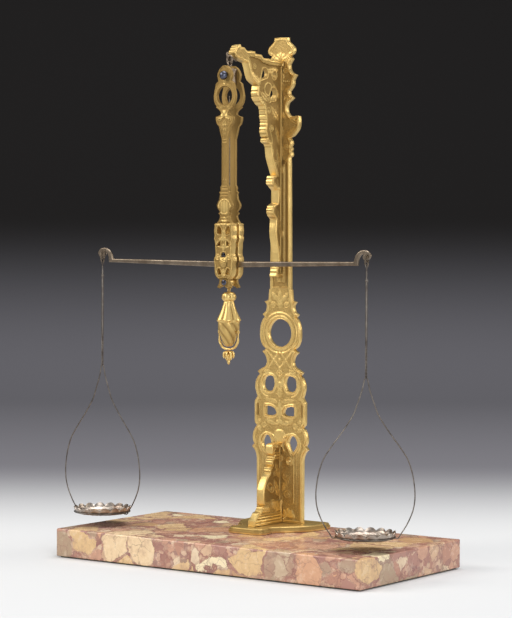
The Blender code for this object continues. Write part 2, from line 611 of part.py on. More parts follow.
def make_base():
    """The baize sheet, the marble slab and the foot plate, with the bores that hold them together."""
    baize_half = SLAB_LENGTH / 2 - BAIZE_INSET
    baize_deep = SLAB_DEPTH / 2 - BAIZE_INSET
    sheet = box_line(-baize_half, baize_half, -baize_deep, baize_deep)
    plate("baize_sheet", [sheet], 0, BAIZE_THICKNESS, from_above, BAIZE)
    edge = box_line(-SLAB_LENGTH / 2, SLAB_LENGTH / 2, -SLAB_DEPTH / 2, SLAB_DEPTH / 2)
    slab = plate("marble_slab", [edge], SLAB_BOTTOM_Z, SLAB_TOP_Z, from_above, MARBLE)
    bevel = slab.modifiers.new("eased_edge", "BEVEL")
    bevel.width = SLAB_EDGE_ROUND
    bevel.segments = 2
    depsgraph = bpy.context.evaluated_depsgraph_get()
    eased = bpy.data.meshes.new_from_object(slab.evaluated_get(depsgraph))
    slab.modifiers.clear()
    slab.data = eased
    foot_line = traced(both_sides(FOOT_OUTLINE_SHARES), FOOT_HALF_WIDTH, FOOT_DEPTH)
    foot_line = moved_line(foot_line, STAND_X, FOOT_FRONT_Y)
    foot = plate("foot_plate", [foot_line], FOOT_BOTTOM_Z, FOOT_TOP_Z, from_above, GILT)
    slab_bores = bmesh.new()
    foot_bores = bmesh.new()
    counterbore_top = SLAB_BOTTOM_Z + BASE_HEAD_THICKNESS + 2 * BORE_GAP
    screw_tip = FOOT_BOTTOM_Z + BASE_SCREW_GRIP
    for name, (x, y) in base_screw_places().items():
        place = (x, y, 0)
        add_pin(slab_bores, place, BASE_SHANK_RADIUS + BORE_GAP, counterbore_top - CUT_OVERRUN / 2,
                SLAB_TOP_Z + CUT_OVERRUN, "Z")
        head_bore = bmesh.new()
        bore_start = SLAB_BOTTOM_Z - CUT_OVERRUN
        add_pin(head_bore, place, BASE_HEAD_RADIUS + BORE_GAP, bore_start, counterbore_top, "Z")
        cut(slab, head_bore)
        add_pin(foot_bores, place, BASE_SHANK_RADIUS + BORE_GAP, FOOT_BOTTOM_Z - CUT_OVERRUN,
                screw_tip + BORE_GAP, "Z")
        make_base_screw(name, place, screw_tip)
    cut(slab, slab_bores)
    for x in pillar_screw_places():
        place = (x, PILLAR_FRONT_Y + PILLAR_THICKNESS / 2, 0)
        head_top = FOOT_BOTTOM_Z + SMALL_HEAD_THICKNESS + BORE_GAP
        add_pin(foot_bores, place, SMALL_HEAD_RADIUS + BORE_GAP, FOOT_BOTTOM_Z - CUT_OVERRUN, head_top, "Z")
        shank_bore = bmesh.new()
        bore_end = FOOT_TOP_Z + CUT_OVERRUN
        add_pin(shank_bore, place, SMALL_SHANK_RADIUS + BORE_GAP, FOOT_BOTTOM_Z, bore_end, "Z")
        cut(foot, shank_bore)
    cut(foot, foot_bores)


def base_screw_places():
    """Where the three screws come up through the slab into the foot plate."""
    back_y = FOOT_FRONT_Y + FOOT_DEPTH * BASE_SCREW_DEPTH_SHARES[0]
    front_y = FOOT_FRONT_Y + FOOT_DEPTH * BASE_SCREW_DEPTH_SHARES[1]
    reach = FOOT_HALF_WIDTH * BASE_SCREW_WIDTH_SHARE
    return {
        "base_screw_left": (STAND_X - reach, back_y),
        "base_screw_right": (STAND_X + reach, back_y),
        "base_screw_front": (STAND_X, front_y),
    }


def pillar_screw_places():
    """The X of the two screws that come up through the foot plate into the pillar."""
    reach = PILLAR_HALF_WIDTH * PILLAR_SCREW_SHARE
    return (STAND_X - reach, STAND_X + reach)


def make_base_screw(name, place, tip):
    """A base screw: its head sits in the slab's counterbore."""
    bm = bmesh.new()
    head_bottom = SLAB_BOTTOM_Z + BORE_GAP
    head_top = head_bottom + BASE_HEAD_THICKNESS
    profile = [(0, head_bottom), (BASE_HEAD_RADIUS, head_bottom), (BASE_HEAD_RADIUS, head_top),
               (BASE_SHANK_RADIUS, head_top), (BASE_SHANK_RADIUS, tip), (0, tip)]
    add_lathe(bm, profile, place, "Z", PIN_SEGMENTS)
    finish(name, bm, STEEL)


def make_pillar():
    """The pierced pillar plate, its recessed shaft panel and its bores."""
    outline = traced(both_sides(PILLAR_OUTLINE_SHARES), PILLAR_HALF_WIDTH, PILLAR_HEIGHT)
    holes = [round_line((RING_HOLE_SHARE[0], RING_HOLE_SHARE[1] * PILLAR_HEIGHT),
                        RING_HOLE_RADIUS_SHARE * PILLAR_HALF_WIDTH)]
    for shares in (KIDNEY_OUTLINE_SHARES, LEAF_SLOT_OUTLINE_SHARES, TEAR_OUTLINE_SHARES):
        hole = traced(shares, PILLAR_HALF_WIDTH, PILLAR_HEIGHT)
        holes += [hole, mirrored_line(hole)]
    notch = (PLINTH_NOTCH_SHARE[0] * PILLAR_HALF_WIDTH, PLINTH_NOTCH_SHARE[1] * PILLAR_HEIGHT)
    notch_line = round_line(notch, PLINTH_NOTCH_RADIUS_SHARE * PILLAR_HALF_WIDTH, WIRE_SEGMENTS)
    holes += [notch_line, mirrored_line(notch_line)]
    lines = [moved_line(line, STAND_X, STAND_Z) for line in [outline] + holes]
    pillar = plate("pillar_plate", lines, PILLAR_FRONT_Y, PILLAR_BACK_Y, in_front, GILT)
    panel = traced(both_sides(SHAFT_PANEL_OUTLINE_SHARES), PILLAR_HALF_WIDTH, PILLAR_HEIGHT)
    strip_half = SHAFT_PANEL_STRIP_SHARE * PILLAR_HALF_WIDTH
    low = (SHAFT_PANEL_OUTLINE_SHARES[0][1] + SHAFT_PANEL_END_SHARE) * PILLAR_HEIGHT
    high = (SHAFT_PANEL_OUTLINE_SHARES[-1][1] - SHAFT_PANEL_END_SHARE) * PILLAR_HEIGHT
    strip = box_line(-strip_half, strip_half, low, high)
    pocket = bmesh.new()
    add_prism(pocket, [moved_line(line, STAND_X, STAND_Z) for line in (panel, strip)],
              PILLAR_FRONT_Y - CUT_OVERRUN, PILLAR_FRONT_Y + PILLAR_PANEL_DEPTH, in_front)
    cut(pillar, pocket)
    bore_radius = SMALL_SHANK_RADIUS + BORE_GAP
    for z in wall_screw_heights().values():
        bore = bmesh.new()
        add_pin(bore, (STAND_X, PILLAR_FRONT_Y, z), bore_radius, -CUT_OVERRUN, PILLAR_THICKNESS + CUT_OVERRUN,
                "Y", PIN_SEGMENTS)
        cut(pillar, bore)
    for x in pillar_screw_places():
        bore = bmesh.new()
        place = (x, PILLAR_FRONT_Y + PILLAR_THICKNESS / 2, 0)
        add_pin(bore, place, bore_radius, STAND_Z - CUT_OVERRUN, STAND_Z + SMALL_SCREW_GRIP + BORE_GAP,
                "Z", PIN_SEGMENTS)
        cut(pillar, bore)


def wall_screw_heights():
    """The heights of the screws that hold the bracket and the gusset to the pillar."""
    heights = {}
    for name, share in BRACKET_SCREW_SHARES.items():
        heights[name] = BRACKET_BOTTOM_Z + share * BRACKET_HEIGHT
    for name, share in GUSSET_SCREW_SHARES.items():
        heights[name] = STAND_Z + share * GUSSET_HEIGHT
    return heights


def make_wall_screws():
    """Screws from behind the pillar into the webs, and from under the foot plate into the pillar."""
    head = SMALL_HEAD_THICKNESS
    for name, z in wall_screw_heights().items():
        bm = bmesh.new()
        back = PILLAR_THICKNESS + BORE_GAP
        profile = [(0, -SMALL_SCREW_GRIP), (SMALL_SHANK_RADIUS, -SMALL_SCREW_GRIP), (SMALL_SHANK_RADIUS, back),
                   (SMALL_HEAD_RADIUS, back), (SMALL_HEAD_RADIUS, back + head), (0, back + head)]
        add_lathe(bm, profile, (STAND_X, PILLAR_FRONT_Y, z), "Y", PIN_SEGMENTS)
        finish(name, bm, STEEL)
    for name, x in zip(("pillar_screw_left", "pillar_screw_right"), pillar_screw_places()):
        bm = bmesh.new()
        tip = STAND_Z + SMALL_SCREW_GRIP
        profile = [(0, FOOT_BOTTOM_Z), (SMALL_HEAD_RADIUS, FOOT_BOTTOM_Z),
                   (SMALL_HEAD_RADIUS, FOOT_BOTTOM_Z + head), (SMALL_SHANK_RADIUS, FOOT_BOTTOM_Z + head),
                   (SMALL_SHANK_RADIUS, tip), (0, tip)]
        add_lathe(bm, profile, (x, PILLAR_FRONT_Y + PILLAR_THICKNESS / 2, 0), "Z", PIN_SEGMENTS)
        finish(name, bm, STEEL)


def make_side_plate(name, outline, pocket, holes, forward, height, bottom, screw_names):
    """A plate that stands forward of the pillar: a thin pierced web inside a wide moulded border."""
    shift = SEAT_GAP - PILLAR_FRONT_Y
    lines = [moved_line(traced(shares, forward, height), shift, bottom) for shares in [outline] + holes]
    side = plate(name, lines, STAND_X - BORDER_WIDTH / 2, STAND_X + BORDER_WIDTH / 2, from_side, GILT)
    pocket_line = moved_line(traced(pocket, forward, height), shift, bottom)
    for direction in (-1, 1):
        bm = bmesh.new()
        near = STAND_X + direction * WEB_THICKNESS / 2
        far = STAND_X + direction * (BORDER_WIDTH / 2 + CUT_OVERRUN)
        add_prism(bm, [pocket_line], near, far, from_side)
        cut(side, bm)
    heights = wall_screw_heights()
    for screw in screw_names:
        bm = bmesh.new()
        add_pin(bm, (STAND_X, PILLAR_FRONT_Y, heights[screw]), SMALL_SHANK_RADIUS + BORE_GAP,
                -SMALL_SCREW_GRIP - BORE_GAP, CUT_OVERRUN, "Y", PIN_SEGMENTS)
        cut(side, bm)
    return side


def make_bracket_and_gusset():
    """The tall bracket that carries the balance, and the gusset at the pillar's foot."""
    bracket_holes = [BRACKET_TREFOIL_SHARES, BRACKET_OVAL_SHARES, BRACKET_LOW_TREFOIL_SHARES]
    make_side_plate("upper_bracket", BRACKET_OUTLINE_SHARES, BRACKET_POCKET_SHARES, bracket_holes,
                    BRACKET_FORWARD, BRACKET_HEIGHT, BRACKET_BOTTOM_Z, BRACKET_SCREW_SHARES)
    make_side_plate("lower_gusset", GUSSET_OUTLINE_SHARES, GUSSET_POCKET_SHARES, [GUSSET_DIAMOND_SHARES],
                    GUSSET_FORWARD, GUSSET_HEIGHT, STAND_Z, GUSSET_SCREW_SHARES)


def make_hook_and_link():
    """The steel hook under the bracket's tip and the link that hangs on it."""
    lip = HOOK_LIP
    route = [
        (HOOK_REACH, -HOOK_ROOT_SHARES[0] * lip),
        (HOOK_REACH * HOOK_ROOT_SHARES[1], HOOK_ROOT_SHARES[2] * lip),
        (HOOK_REACH * HOOK_ROOT_SHARES[3], HOOK_ROOT_SHARES[4] * lip),
        (0, 0),
        (-lip * HOOK_LIP_SHARES[0], lip * HOOK_LIP_SHARES[1]),
        (-lip, HOOK_RISE * HOOK_LIP_SHARES[2]),
        (-lip * HOOK_LIP_SHARES[3], HOOK_RISE),
    ]
    points = [Vector((STAND_X, BALANCE_Y + y, HOOK_Z + z)) for y, z in route]
    path = smooth_path(points)
    bm = bmesh.new()
    add_tube(bm, path, [HOOK_WIRE_RADIUS] * len(path))
    finish("bracket_hook", bm, STEEL, smooth=True)
    link_top = HOOK_Z + HOOK_WIRE_RADIUS + SEAT_GAP + LINK_WIRE_RADIUS
    half_high = LINK_HEIGHT / 2 - LINK_WIRE_RADIUS
    half_wide = LINK_WIDTH / 2 - LINK_WIRE_RADIUS
    centre = Vector((STAND_X, BALANCE_Y, link_top - half_high))
    turns = [2 * math.pi * k / ROUND_SEGMENTS for k in range(ROUND_SEGMENTS)]
    loop = [centre + Vector((half_wide * math.cos(a), 0, half_high * math.sin(a))) for a in turns]
    bm = bmesh.new()
    add_tube(bm, loop, [LINK_WIRE_RADIUS] * len(loop), closed=True)
    finish("suspension_link", bm, STEEL, (STAND_X, BALANCE_Y, HOOK_Z), smooth=True)
    return link_top - 2 * half_high


def smooth_path(points, steps=4):
    """Points on a smooth curve through the given points."""
    path = []
    for i in range(len(points) - 1):
        before = points[max(i - 1, 0)]
        after = points[min(i + 2, len(points) - 1)]
        here = points[i]
        there = points[i + 1]
        path += curve_points(before, here, there, after, range(steps), steps)
    path.append(points[-1])
    return path


def add_box(bm, across, deep, up):
    """Add a box to bm from its (low, high) pairs along X, Y and Z."""
    add_prism(bm, [box_line(*across, *up)], *deep, in_front)


def make_cheek(name, side, origin):
    """One cheek of the shears: a full-depth plate, thinned to a light shaft above and below the box."""
    outline = traced(both_sides(CHEEK_OUTLINE_SHARES), CHEEK_HALF_WIDTH, CHEEK_HEIGHT)
    outline = moved_line(outline, STAND_X, CHEEK_BOTTOM_Z)
    inner = BALANCE_Y + side * CHEEK_INNER_Y
    box_inner = BALANCE_Y + side * BOX_INNER_Y
    box_outer = BALANCE_Y + side * BOX_OUTER_Y
    cheek = plate(name, [outline], box_inner, box_outer, in_front, GILT)
    across = (STAND_X - 2 * CHEEK_HALF_WIDTH, STAND_X + 2 * CHEEK_HALF_WIDTH)
    bottom = CHEEK_BOTTOM_Z - CUT_OVERRUN
    top = CHEEK_BOTTOM_Z + CHEEK_HEIGHT + CUT_OVERRUN
    box_bottom = LOW_BOLT_Z + LOW_SPACER_RADIUS + SEAT_GAP
    box_top = CHEEK_BOTTOM_Z + BOX_TOP_SHARE * CHEEK_HEIGHT
    head_from = CHEEK_BOTTOM_Z + HEAD_FROM_SHARE * CHEEK_HEIGHT
    inside = (box_inner - side * CUT_OVERRUN, inner)
    outside_shaft = (inner + side * SHAFT_THICKNESS, box_outer + side * CUT_OVERRUN)
    outside_head = (inner + side * HEAD_THICKNESS, box_outer + side * CUT_OVERRUN)
    inner_cuts = bmesh.new()
    add_box(inner_cuts, across, inside, (bottom, box_bottom))
    add_box(inner_cuts, across, inside, (box_top, top))
    cut(cheek, inner_cuts)
    outer_cuts = bmesh.new()
    add_box(outer_cuts, across, outside_shaft, (bottom, box_bottom))
    add_box(outer_cuts, across, outside_shaft, (box_top, head_from))
    cut(cheek, outer_cuts)
    head_cut = bmesh.new()
    add_box(head_cut, across, outside_head, (head_from - CUT_OVERRUN / 2, top))
    cut(cheek, head_cut)
    dome = bmesh.new()
    profile = [(0, side * (BOX_OUTER_Y - BOSS_RISE)), (BOSS_RADIUS, side * (BOX_OUTER_Y - BOSS_RISE))]
    for radius_share, rise_share in DOME_SHARES:
        profile.append((BOSS_RADIUS * radius_share, side * (BOX_OUTER_Y + BOSS_RISE * rise_share)))
    add_lathe(dome, profile, (STAND_X, BALANCE_Y, BOSS_Z), "Y", PIN_SEGMENTS)
    join(cheek, dome)
    bm = bmesh.new()
    near = box_inner - side * CUT_OVERRUN
    far = box_outer + side * CUT_OVERRUN
    holes = [round_line((STAND_X, WINDOW_Z), WINDOW_RADIUS)]
    for shares in (CHEEK_KIDNEY_SHARES, CHEEK_CROSS_SHARES, CHEEK_SLANT_SHARES):
        hole = traced(shares, CHEEK_HALF_WIDTH, CHEEK_HEIGHT)
        holes += [moved_line(line, STAND_X, CHEEK_BOTTOM_Z) for line in (hole, mirrored_line(hole))]
    holes.append(round_line((STAND_X, TOP_BOLT_Z), TOP_BOLT_RADIUS + BORE_GAP, PIN_SEGMENTS))
    holes.append(round_line((STAND_X, LOW_BOLT_Z), LOW_BOLT_RADIUS + BORE_GAP, PIN_SEGMENTS))
    holes.append(arch_line())
    for hole in holes:
        add_prism(bm, [hole], near, far, in_front)
    cut(cheek, bm)
    cheek.data.transform(Matrix.Translation(-Vector(origin)))
    cheek.location = origin
    return cheek


def arch_line():
    """The bearing's opening: flat below, with a half-round top."""
    spring_z = ARCH_TOP_Z - ARCH_HALF_WIDTH
    floor_z = PIVOT_Z - SEAT_GAP - BEARING_HEIGHT - SEAT_GAP
    line = [Vector((STAND_X - ARCH_HALF_WIDTH, floor_z)), Vector((STAND_X + ARCH_HALF_WIDTH, floor_z))]
    for k in range(WIRE_SEGMENTS + 1):
        angle = math.pi * k / WIRE_SEGMENTS
        across = STAND_X + ARCH_HALF_WIDTH * math.cos(angle)
        line.append(Vector((across, spring_z + ARCH_HALF_WIDTH * math.sin(angle))))
    return line


def make_shears(link_bottom_z):
    """The cheeks, the two eye blocks between them, their bolts and nuts, and the bearings."""
    origin = (STAND_X, BALANCE_Y, link_bottom_z)
    make_cheek("shears_front_cheek", -1, origin)
    make_cheek("shears_rear_cheek", 1, origin)
    half_gap = CHEEK_INNER_Y - SEAT_GAP
    block_left = STAND_X - TOP_BLOCK_HALF_WIDTH
    block_right = STAND_X + TOP_BLOCK_HALF_WIDTH
    block = box_line(block_left, block_right, TOP_BLOCK_BOTTOM_Z, TOP_BLOCK_TOP_Z)
    bore = round_line((STAND_X, TOP_BOLT_Z), TOP_BOLT_RADIUS + BORE_GAP, PIN_SEGMENTS)
    eye = plate("suspension_eye", [block, bore], BALANCE_Y - half_gap, BALANCE_Y + half_gap, in_front, STEEL)
    bm = bmesh.new()
    eye_z = link_bottom_z + LINK_WIRE_RADIUS + SEAT_GAP + EYE_WIRE_RADIUS - EYE_MAJOR_RADIUS
    add_ring(bm, (STAND_X, BALANCE_Y, eye_z), EYE_MAJOR_RADIUS, EYE_WIRE_RADIUS, "YZ")
    join(eye, bm)
    neck = bmesh.new()
    neck_top = eye_z - EYE_MAJOR_RADIUS
    neck_radius = EYE_WIRE_RADIUS * EYE_NECK_SHARE
    add_pin(neck, (STAND_X, BALANCE_Y, 0), neck_radius, TOP_BLOCK_TOP_Z - CUT_OVERRUN, neck_top, "Z")
    join(eye, neck)
    make_bolt("top_bolt", TOP_BOLT_Z, TOP_BOLT_RADIUS, TOP_HEAD_RADIUS, TOP_HEAD_RISE, HEAD_THICKNESS, BLUED)
    make_nut("top_nut", TOP_BOLT_Z, TOP_BOLT_RADIUS, TOP_NUT_RADIUS, TOP_NUT_THICKNESS, HEAD_THICKNESS)
    spacer = round_line((STAND_X, LOW_BOLT_Z), LOW_SPACER_RADIUS)
    bore = round_line((STAND_X, LOW_BOLT_Z), LOW_BOLT_RADIUS + BORE_GAP, PIN_SEGMENTS)
    low_eye = plate("pendant_eye", [spacer, bore], BALANCE_Y - half_gap, BALANCE_Y + half_gap, in_front, GILT)
    bm = bmesh.new()
    add_ring(bm, (STAND_X, BALANCE_Y, PENDANT_EYE_Z), PENDANT_EYE_MAJOR, PENDANT_EYE_WIRE, "XZ")
    join(low_eye, bm)
    make_bolt("low_bolt", LOW_BOLT_Z, LOW_BOLT_RADIUS, LOW_HEAD_RADIUS, LOW_HEAD_RISE, SHAFT_THICKNESS, BLUED)
    make_nut("low_nut", LOW_BOLT_Z, LOW_BOLT_RADIUS, LOW_HEAD_RADIUS, LOW_NUT_THICKNESS, SHAFT_THICKNESS)
    for name, side in (("front_bearing", -1), ("rear_bearing", 1)):
        top = PIVOT_Z - SEAT_GAP
        seat = box_line(STAND_X - BEARING_HALF_WIDTH, STAND_X + BEARING_HALF_WIDTH, top - BEARING_HEIGHT, top)
        near = BALANCE_Y + side * (BOX_INNER_Y + SEAT_GAP)
        plate(name, [seat], near, BALANCE_Y + side * BOX_OUTER_Y, in_front, BLUED)


def make_bolt(name, z, shank, head, rise, cheek, material):
    """A bolt through both cheeks: domed head in front, its end flush with the nut behind."""
    front = CHEEK_INNER_Y + cheek + SEAT_GAP
    nut_end = CHEEK_INNER_Y + cheek + SEAT_GAP + nut_thickness(name)
    bm = bmesh.new()
    profile = [(head * out, -front - rise * up) for out, up in BOLT_HEAD_SHARES]
    profile += [(head, -front), (shank, -front), (shank, nut_end), (0, nut_end)]
    add_lathe(bm, profile, (STAND_X, BALANCE_Y, z), "Y", PIN_SEGMENTS)
    finish(name, bm, material)


def nut_thickness(bolt_name):
    """The nut's thickness on the bolt of that name."""
    return {"top_bolt": TOP_NUT_THICKNESS, "low_bolt": LOW_NUT_THICKNESS}[bolt_name]


def make_nut(name, z, shank, radius, thickness, cheek):
    """A hexagon nut behind the rear cheek."""
    near = BALANCE_Y + CHEEK_INNER_Y + cheek + SEAT_GAP
    hexagon = round_line((STAND_X, z), radius, 6)
    bore = round_line((STAND_X, z), shank + BORE_GAP, PIN_SEGMENTS)
    plate(name, [hexagon, bore], near, near + thickness, in_front, BLUED)


def beam_line():
    """The beam's outline: a bar that tapers to swan-neck ends, with a boss in the middle."""
    neck = traced(NECK_OUTLINE_SHARES, NECK_SIZE, NECK_SIZE)
    low = moved_line(neck, ARM_LENGTH, BEAM_MIDDLE_BOTTOM_Z)
    right = [Vector((BEAM_BOSS_HALF_WIDTH, BEAM_MIDDLE_BOTTOM_Z))] + low
    right += [Vector((BEAM_BOSS_HALF_WIDTH, BEAM_MIDDLE_TOP_Z)),
              Vector((BEAM_BOSS_HALF_WIDTH * BEAM_BOSS_SHARE, BEAM_BOSS_TOP_Z))]
    return right + mirrored_line(right)


def make_beam():
    """The beam with its end pins, its knife edge and its tongue."""
    origin = (STAND_X, BALANCE_Y, PIVOT_Z)
    half = BEAM_THICKNESS / 2
    line = moved_line(beam_line(), STAND_X, 0)
    pin_holes = [round_line((STAND_X + side * ARM_LENGTH, END_PIN_Z), END_PIN_RADIUS + BORE_GAP, PIN_SEGMENTS)
                 for side in (-1, 1)]
    knife = knife_line(BORE_GAP)
    beam = plate("beam_bar", [line, knife] + pin_holes, BALANCE_Y - half, BALANCE_Y + half, in_front, STEEL)
    beam.data.transform(Matrix.Translation(-Vector(origin)))
    beam.location = origin
    knife_ends = (BALANCE_Y - KNIFE_HALF_LENGTH, BALANCE_Y + KNIFE_HALF_LENGTH)
    plate("knife_edge", [knife_line(0)], *knife_ends, in_front, BLUED, origin)
    foot_z = BEAM_BOSS_TOP_Z + SEAT_GAP
    point_half = TONGUE_HALF_WIDTH * TONGUE_POINT_SHARE
    needle = [Vector((STAND_X - TONGUE_HALF_WIDTH, foot_z)), Vector((STAND_X + TONGUE_HALF_WIDTH, foot_z)),
              Vector((STAND_X + point_half, TONGUE_TOP_Z)), Vector((STAND_X - point_half, TONGUE_TOP_Z))]
    flat = TONGUE_THICKNESS / 2
    plate("tongue", [needle], BALANCE_Y - flat, BALANCE_Y + flat, in_front, STEEL, origin)
    fork_outer = half + FORK_GAP + FORK_THICKNESS
    for name, side in (("left_end_pin", -1), ("right_end_pin", 1)):
        bm = bmesh.new()
        head_in = fork_outer + BORE_GAP
        head_out = head_in + END_PIN_HEAD_RISE
        profile = [(0, -head_out), (END_PIN_HEAD_RADIUS, -head_out), (END_PIN_HEAD_RADIUS, -head_in),
                   (END_PIN_RADIUS, -head_in), (END_PIN_RADIUS, head_in), (END_PIN_HEAD_RADIUS, head_in),
                   (END_PIN_HEAD_RADIUS, head_out), (0, head_out)]
        add_lathe(bm, profile, (STAND_X + side * ARM_LENGTH, BALANCE_Y, END_PIN_Z), "Y", PIN_SEGMENTS)
        finish(name, bm, STEEL, origin)


def knife_line(gap):
    """The knife edge's three-sided section, its edge down on the pivot, with a gap all round."""
    top = PIVOT_Z + KNIFE_HEIGHT + gap
    half = KNIFE_HALF_WIDTH + gap
    return [Vector((STAND_X, PIVOT_Z - gap)), Vector((STAND_X + half, top)), Vector((STAND_X - half, top))]


def make_hanger(side_name, side, turn):
    """One end hook, its bow, the wire ring and the pan."""
    x = STAND_X + side * ARM_LENGTH
    make_end_hook(side_name + "_end_hook", x)
    ring_wire_z = END_RING_Z - END_RING_MAJOR
    eye_z = ring_wire_z + END_RING_WIRE + SEAT_GAP + BOW_EYE_WIRE - BOW_EYE_MAJOR
    origin = (x, BALANCE_Y, ring_wire_z)
    make_bow(side_name + "_bow", x, eye_z, turn, origin)
    bm = bmesh.new()
    add_ring(bm, (x, BALANCE_Y, PAN_RING_Z), PAN_RING_RADIUS, PAN_RING_WIRE, "XY", 36)
    finish(side_name + "_pan_ring", bm, DARK_WIRE, origin, smooth=True)
    make_pan(side_name + "_pan", x)


def make_end_hook(name, x):
    """A fork of two small cheeks over the beam's end, joined under it to a ring."""
    inner = BEAM_THICKNESS / 2 + FORK_GAP
    outer = inner + FORK_THICKNESS
    low_z = END_RING_Z + END_RING_MAJOR
    hinge = (x, END_PIN_Z)
    bm = bmesh.new()
    add_ring(bm, (x, BALANCE_Y, END_RING_Z), END_RING_MAJOR, END_RING_WIRE, "XZ")
    hook = finish(name, bm, STEEL)
    tie_top = low_z + END_RING_WIRE
    bridge = bmesh.new()
    tie_low = low_z - END_RING_WIRE * TIE_SHARE
    leg = box_line(x - FORK_LEG_HALF_WIDTH, x + FORK_LEG_HALF_WIDTH, tie_low, tie_top)
    add_prism(bridge, [leg], BALANCE_Y - outer, BALANCE_Y + outer, in_front)
    join(hook, bridge)
    for direction in (-1, 1):
        cheek = bmesh.new()
        disc = round_line(hinge, FORK_RADIUS, PIN_SEGMENTS)
        add_prism(cheek, [disc], BALANCE_Y + direction * inner, BALANCE_Y + direction * outer, in_front)
        join(hook, cheek)
        strap = bmesh.new()
        strap_line = box_line(x - FORK_LEG_HALF_WIDTH, x + FORK_LEG_HALF_WIDTH, low_z, END_PIN_Z)
        add_prism(strap, [strap_line], BALANCE_Y + direction * inner, BALANCE_Y + direction * outer, in_front)
        join(hook, strap)
    bore = bmesh.new()
    hole = round_line(hinge, END_PIN_RADIUS + BORE_GAP, PIN_SEGMENTS)
    add_prism(bore, [hole], BALANCE_Y - outer - CUT_OVERRUN, BALANCE_Y + outer + CUT_OVERRUN, in_front)
    cut(hook, bore)
    origin = Vector((x, BALANCE_Y, END_PIN_Z))
    hook.data.transform(Matrix.Translation(-origin))
    hook.location = origin


def make_bow(name, x, eye_z, turn, origin):
    """A hanger bow: an eye, a stem with a bead, and two wires that open into a teardrop."""
    height = BOW_SPLIT_Z - PAN_RING_Z
    top = eye_z - BOW_EYE_MAJOR
    bead_z = top - STEM_BEAD_DROP
    stem = [(top, BOW_EYE_WIRE), (top - STEM_RADIUS, STEM_RADIUS * STEM_SHARES[0]),
            (bead_z + STEM_RADIUS, STEM_RADIUS * STEM_SHARES[1]), (bead_z, STEM_BEAD_RADIUS),
            (bead_z - STEM_RADIUS, STEM_RADIUS), ((bead_z + BOW_SPLIT_Z) / 2, STEM_RADIUS),
            (BOW_SPLIT_Z, STEM_RADIUS * STEM_SHARES[2])]
    bm = bmesh.new()
    add_tube(bm, [Vector((x, BALANCE_Y, z)) for z, _ in stem], [radius for _, radius in stem])
    bow = finish(name, bm, DARK_WIRE, smooth=True)
    eye = bmesh.new()
    add_ring(eye, (x, BALANCE_Y, eye_z), BOW_EYE_MAJOR, BOW_EYE_WIRE, "YZ")
    join(bow, eye)
    sideways = Vector((math.cos(turn), math.sin(turn), 0))
    start = PAN_RING_RADIUS + (PAN_RING_WIRE + SEAT_GAP) * RING_LANDING_SHARES[0]
    lift = (PAN_RING_WIRE + SEAT_GAP) * RING_LANDING_SHARES[1]
    for direction in (-1, 1):
        knots = []
        for out, up in BOW_PROFILE_SHARES:
            knots.append(Vector((BOW_HALF_WIDTH * out, 0, PAN_RING_Z + up * height)))
        knots.insert(0, Vector((0, 0, BOW_SPLIT_Z + STEM_RADIUS)))
        knots.append(Vector((start, 0, PAN_RING_Z + lift)))
        knots = [Vector((x, BALANCE_Y, k.z)) + direction * k.x * sideways for k in knots]
        path = smooth_path(knots, 2)
        wire = bmesh.new()
        add_tube(wire, path, [BOW_WIRE_RADIUS] * len(path), 6)
        join(bow, wire)
    bow.data.transform(Matrix.Translation(-Vector(origin)))
    bow.location = origin


def make_pan(name, x):
    """A shallow pan with a scalloped rim, of even wall, resting in the wire ring."""
    bottom_z = PAN_RING_Z - PAN_SINK
    segments = SCALLOPS * 4
    outer = open_profile(PAN_OUTER_PROFILE_SHARES, PAN_RIM_RADIUS, PAN_HEIGHT, 1)
    inner = inset_profile(outer, PAN_WALL)
    bm = bmesh.new()
    sheets = []
    for profile in (outer, inner):
        rings = []
        for radius, height in profile:
            if radius == 0:
                rings.append([bm.verts.new((x, BALANCE_Y, bottom_z + height))])
                continue
            share = max(0.0, height / PAN_HEIGHT - RIM_FROM_SHARE) / (1 - RIM_FROM_SHARE)
            ring = []
            for k in range(segments):
                angle = 2 * math.pi * k / segments
                dip = SCALLOP_RISE * share * (1 - abs(math.cos(SCALLOPS * angle / 2)))
                across = x + radius * math.cos(angle)
                spot = (across, BALANCE_Y + radius * math.sin(angle), bottom_z + height - dip)
                ring.append(bm.verts.new(spot))
            rings.append(ring)
        sheets.append(rings)
        bridge_rings(bm, rings, segments)
    bridge_rings(bm, [sheets[0][-1], sheets[1][-1]], segments)
    finish(name, bm, SILVER, (x, BALANCE_Y, PAN_RING_Z), smooth=True)


def open_profile(rows, radius, height, steps=2):
    """An open line of (radius, height) through rows of shares."""
    line = traced(rows, radius, height, steps)
    return [(point.x, point.y) for point in line]


def inset_profile(profile, wall):
    """The same line moved inward and upward by a wall's thickness."""
    moved = []
    last = len(profile) - 1
    for i, (radius, height) in enumerate(profile):
        before = profile[max(i - 1, 0)]
        after = profile[min(i + 1, last)]
        along = Vector((after[0] - before[0], after[1] - before[1])).normalized()
        inward = max(radius - along.y * wall, 0) if radius else 0
        moved.append((inward, height + along.x * wall if i < last else height))
    return moved


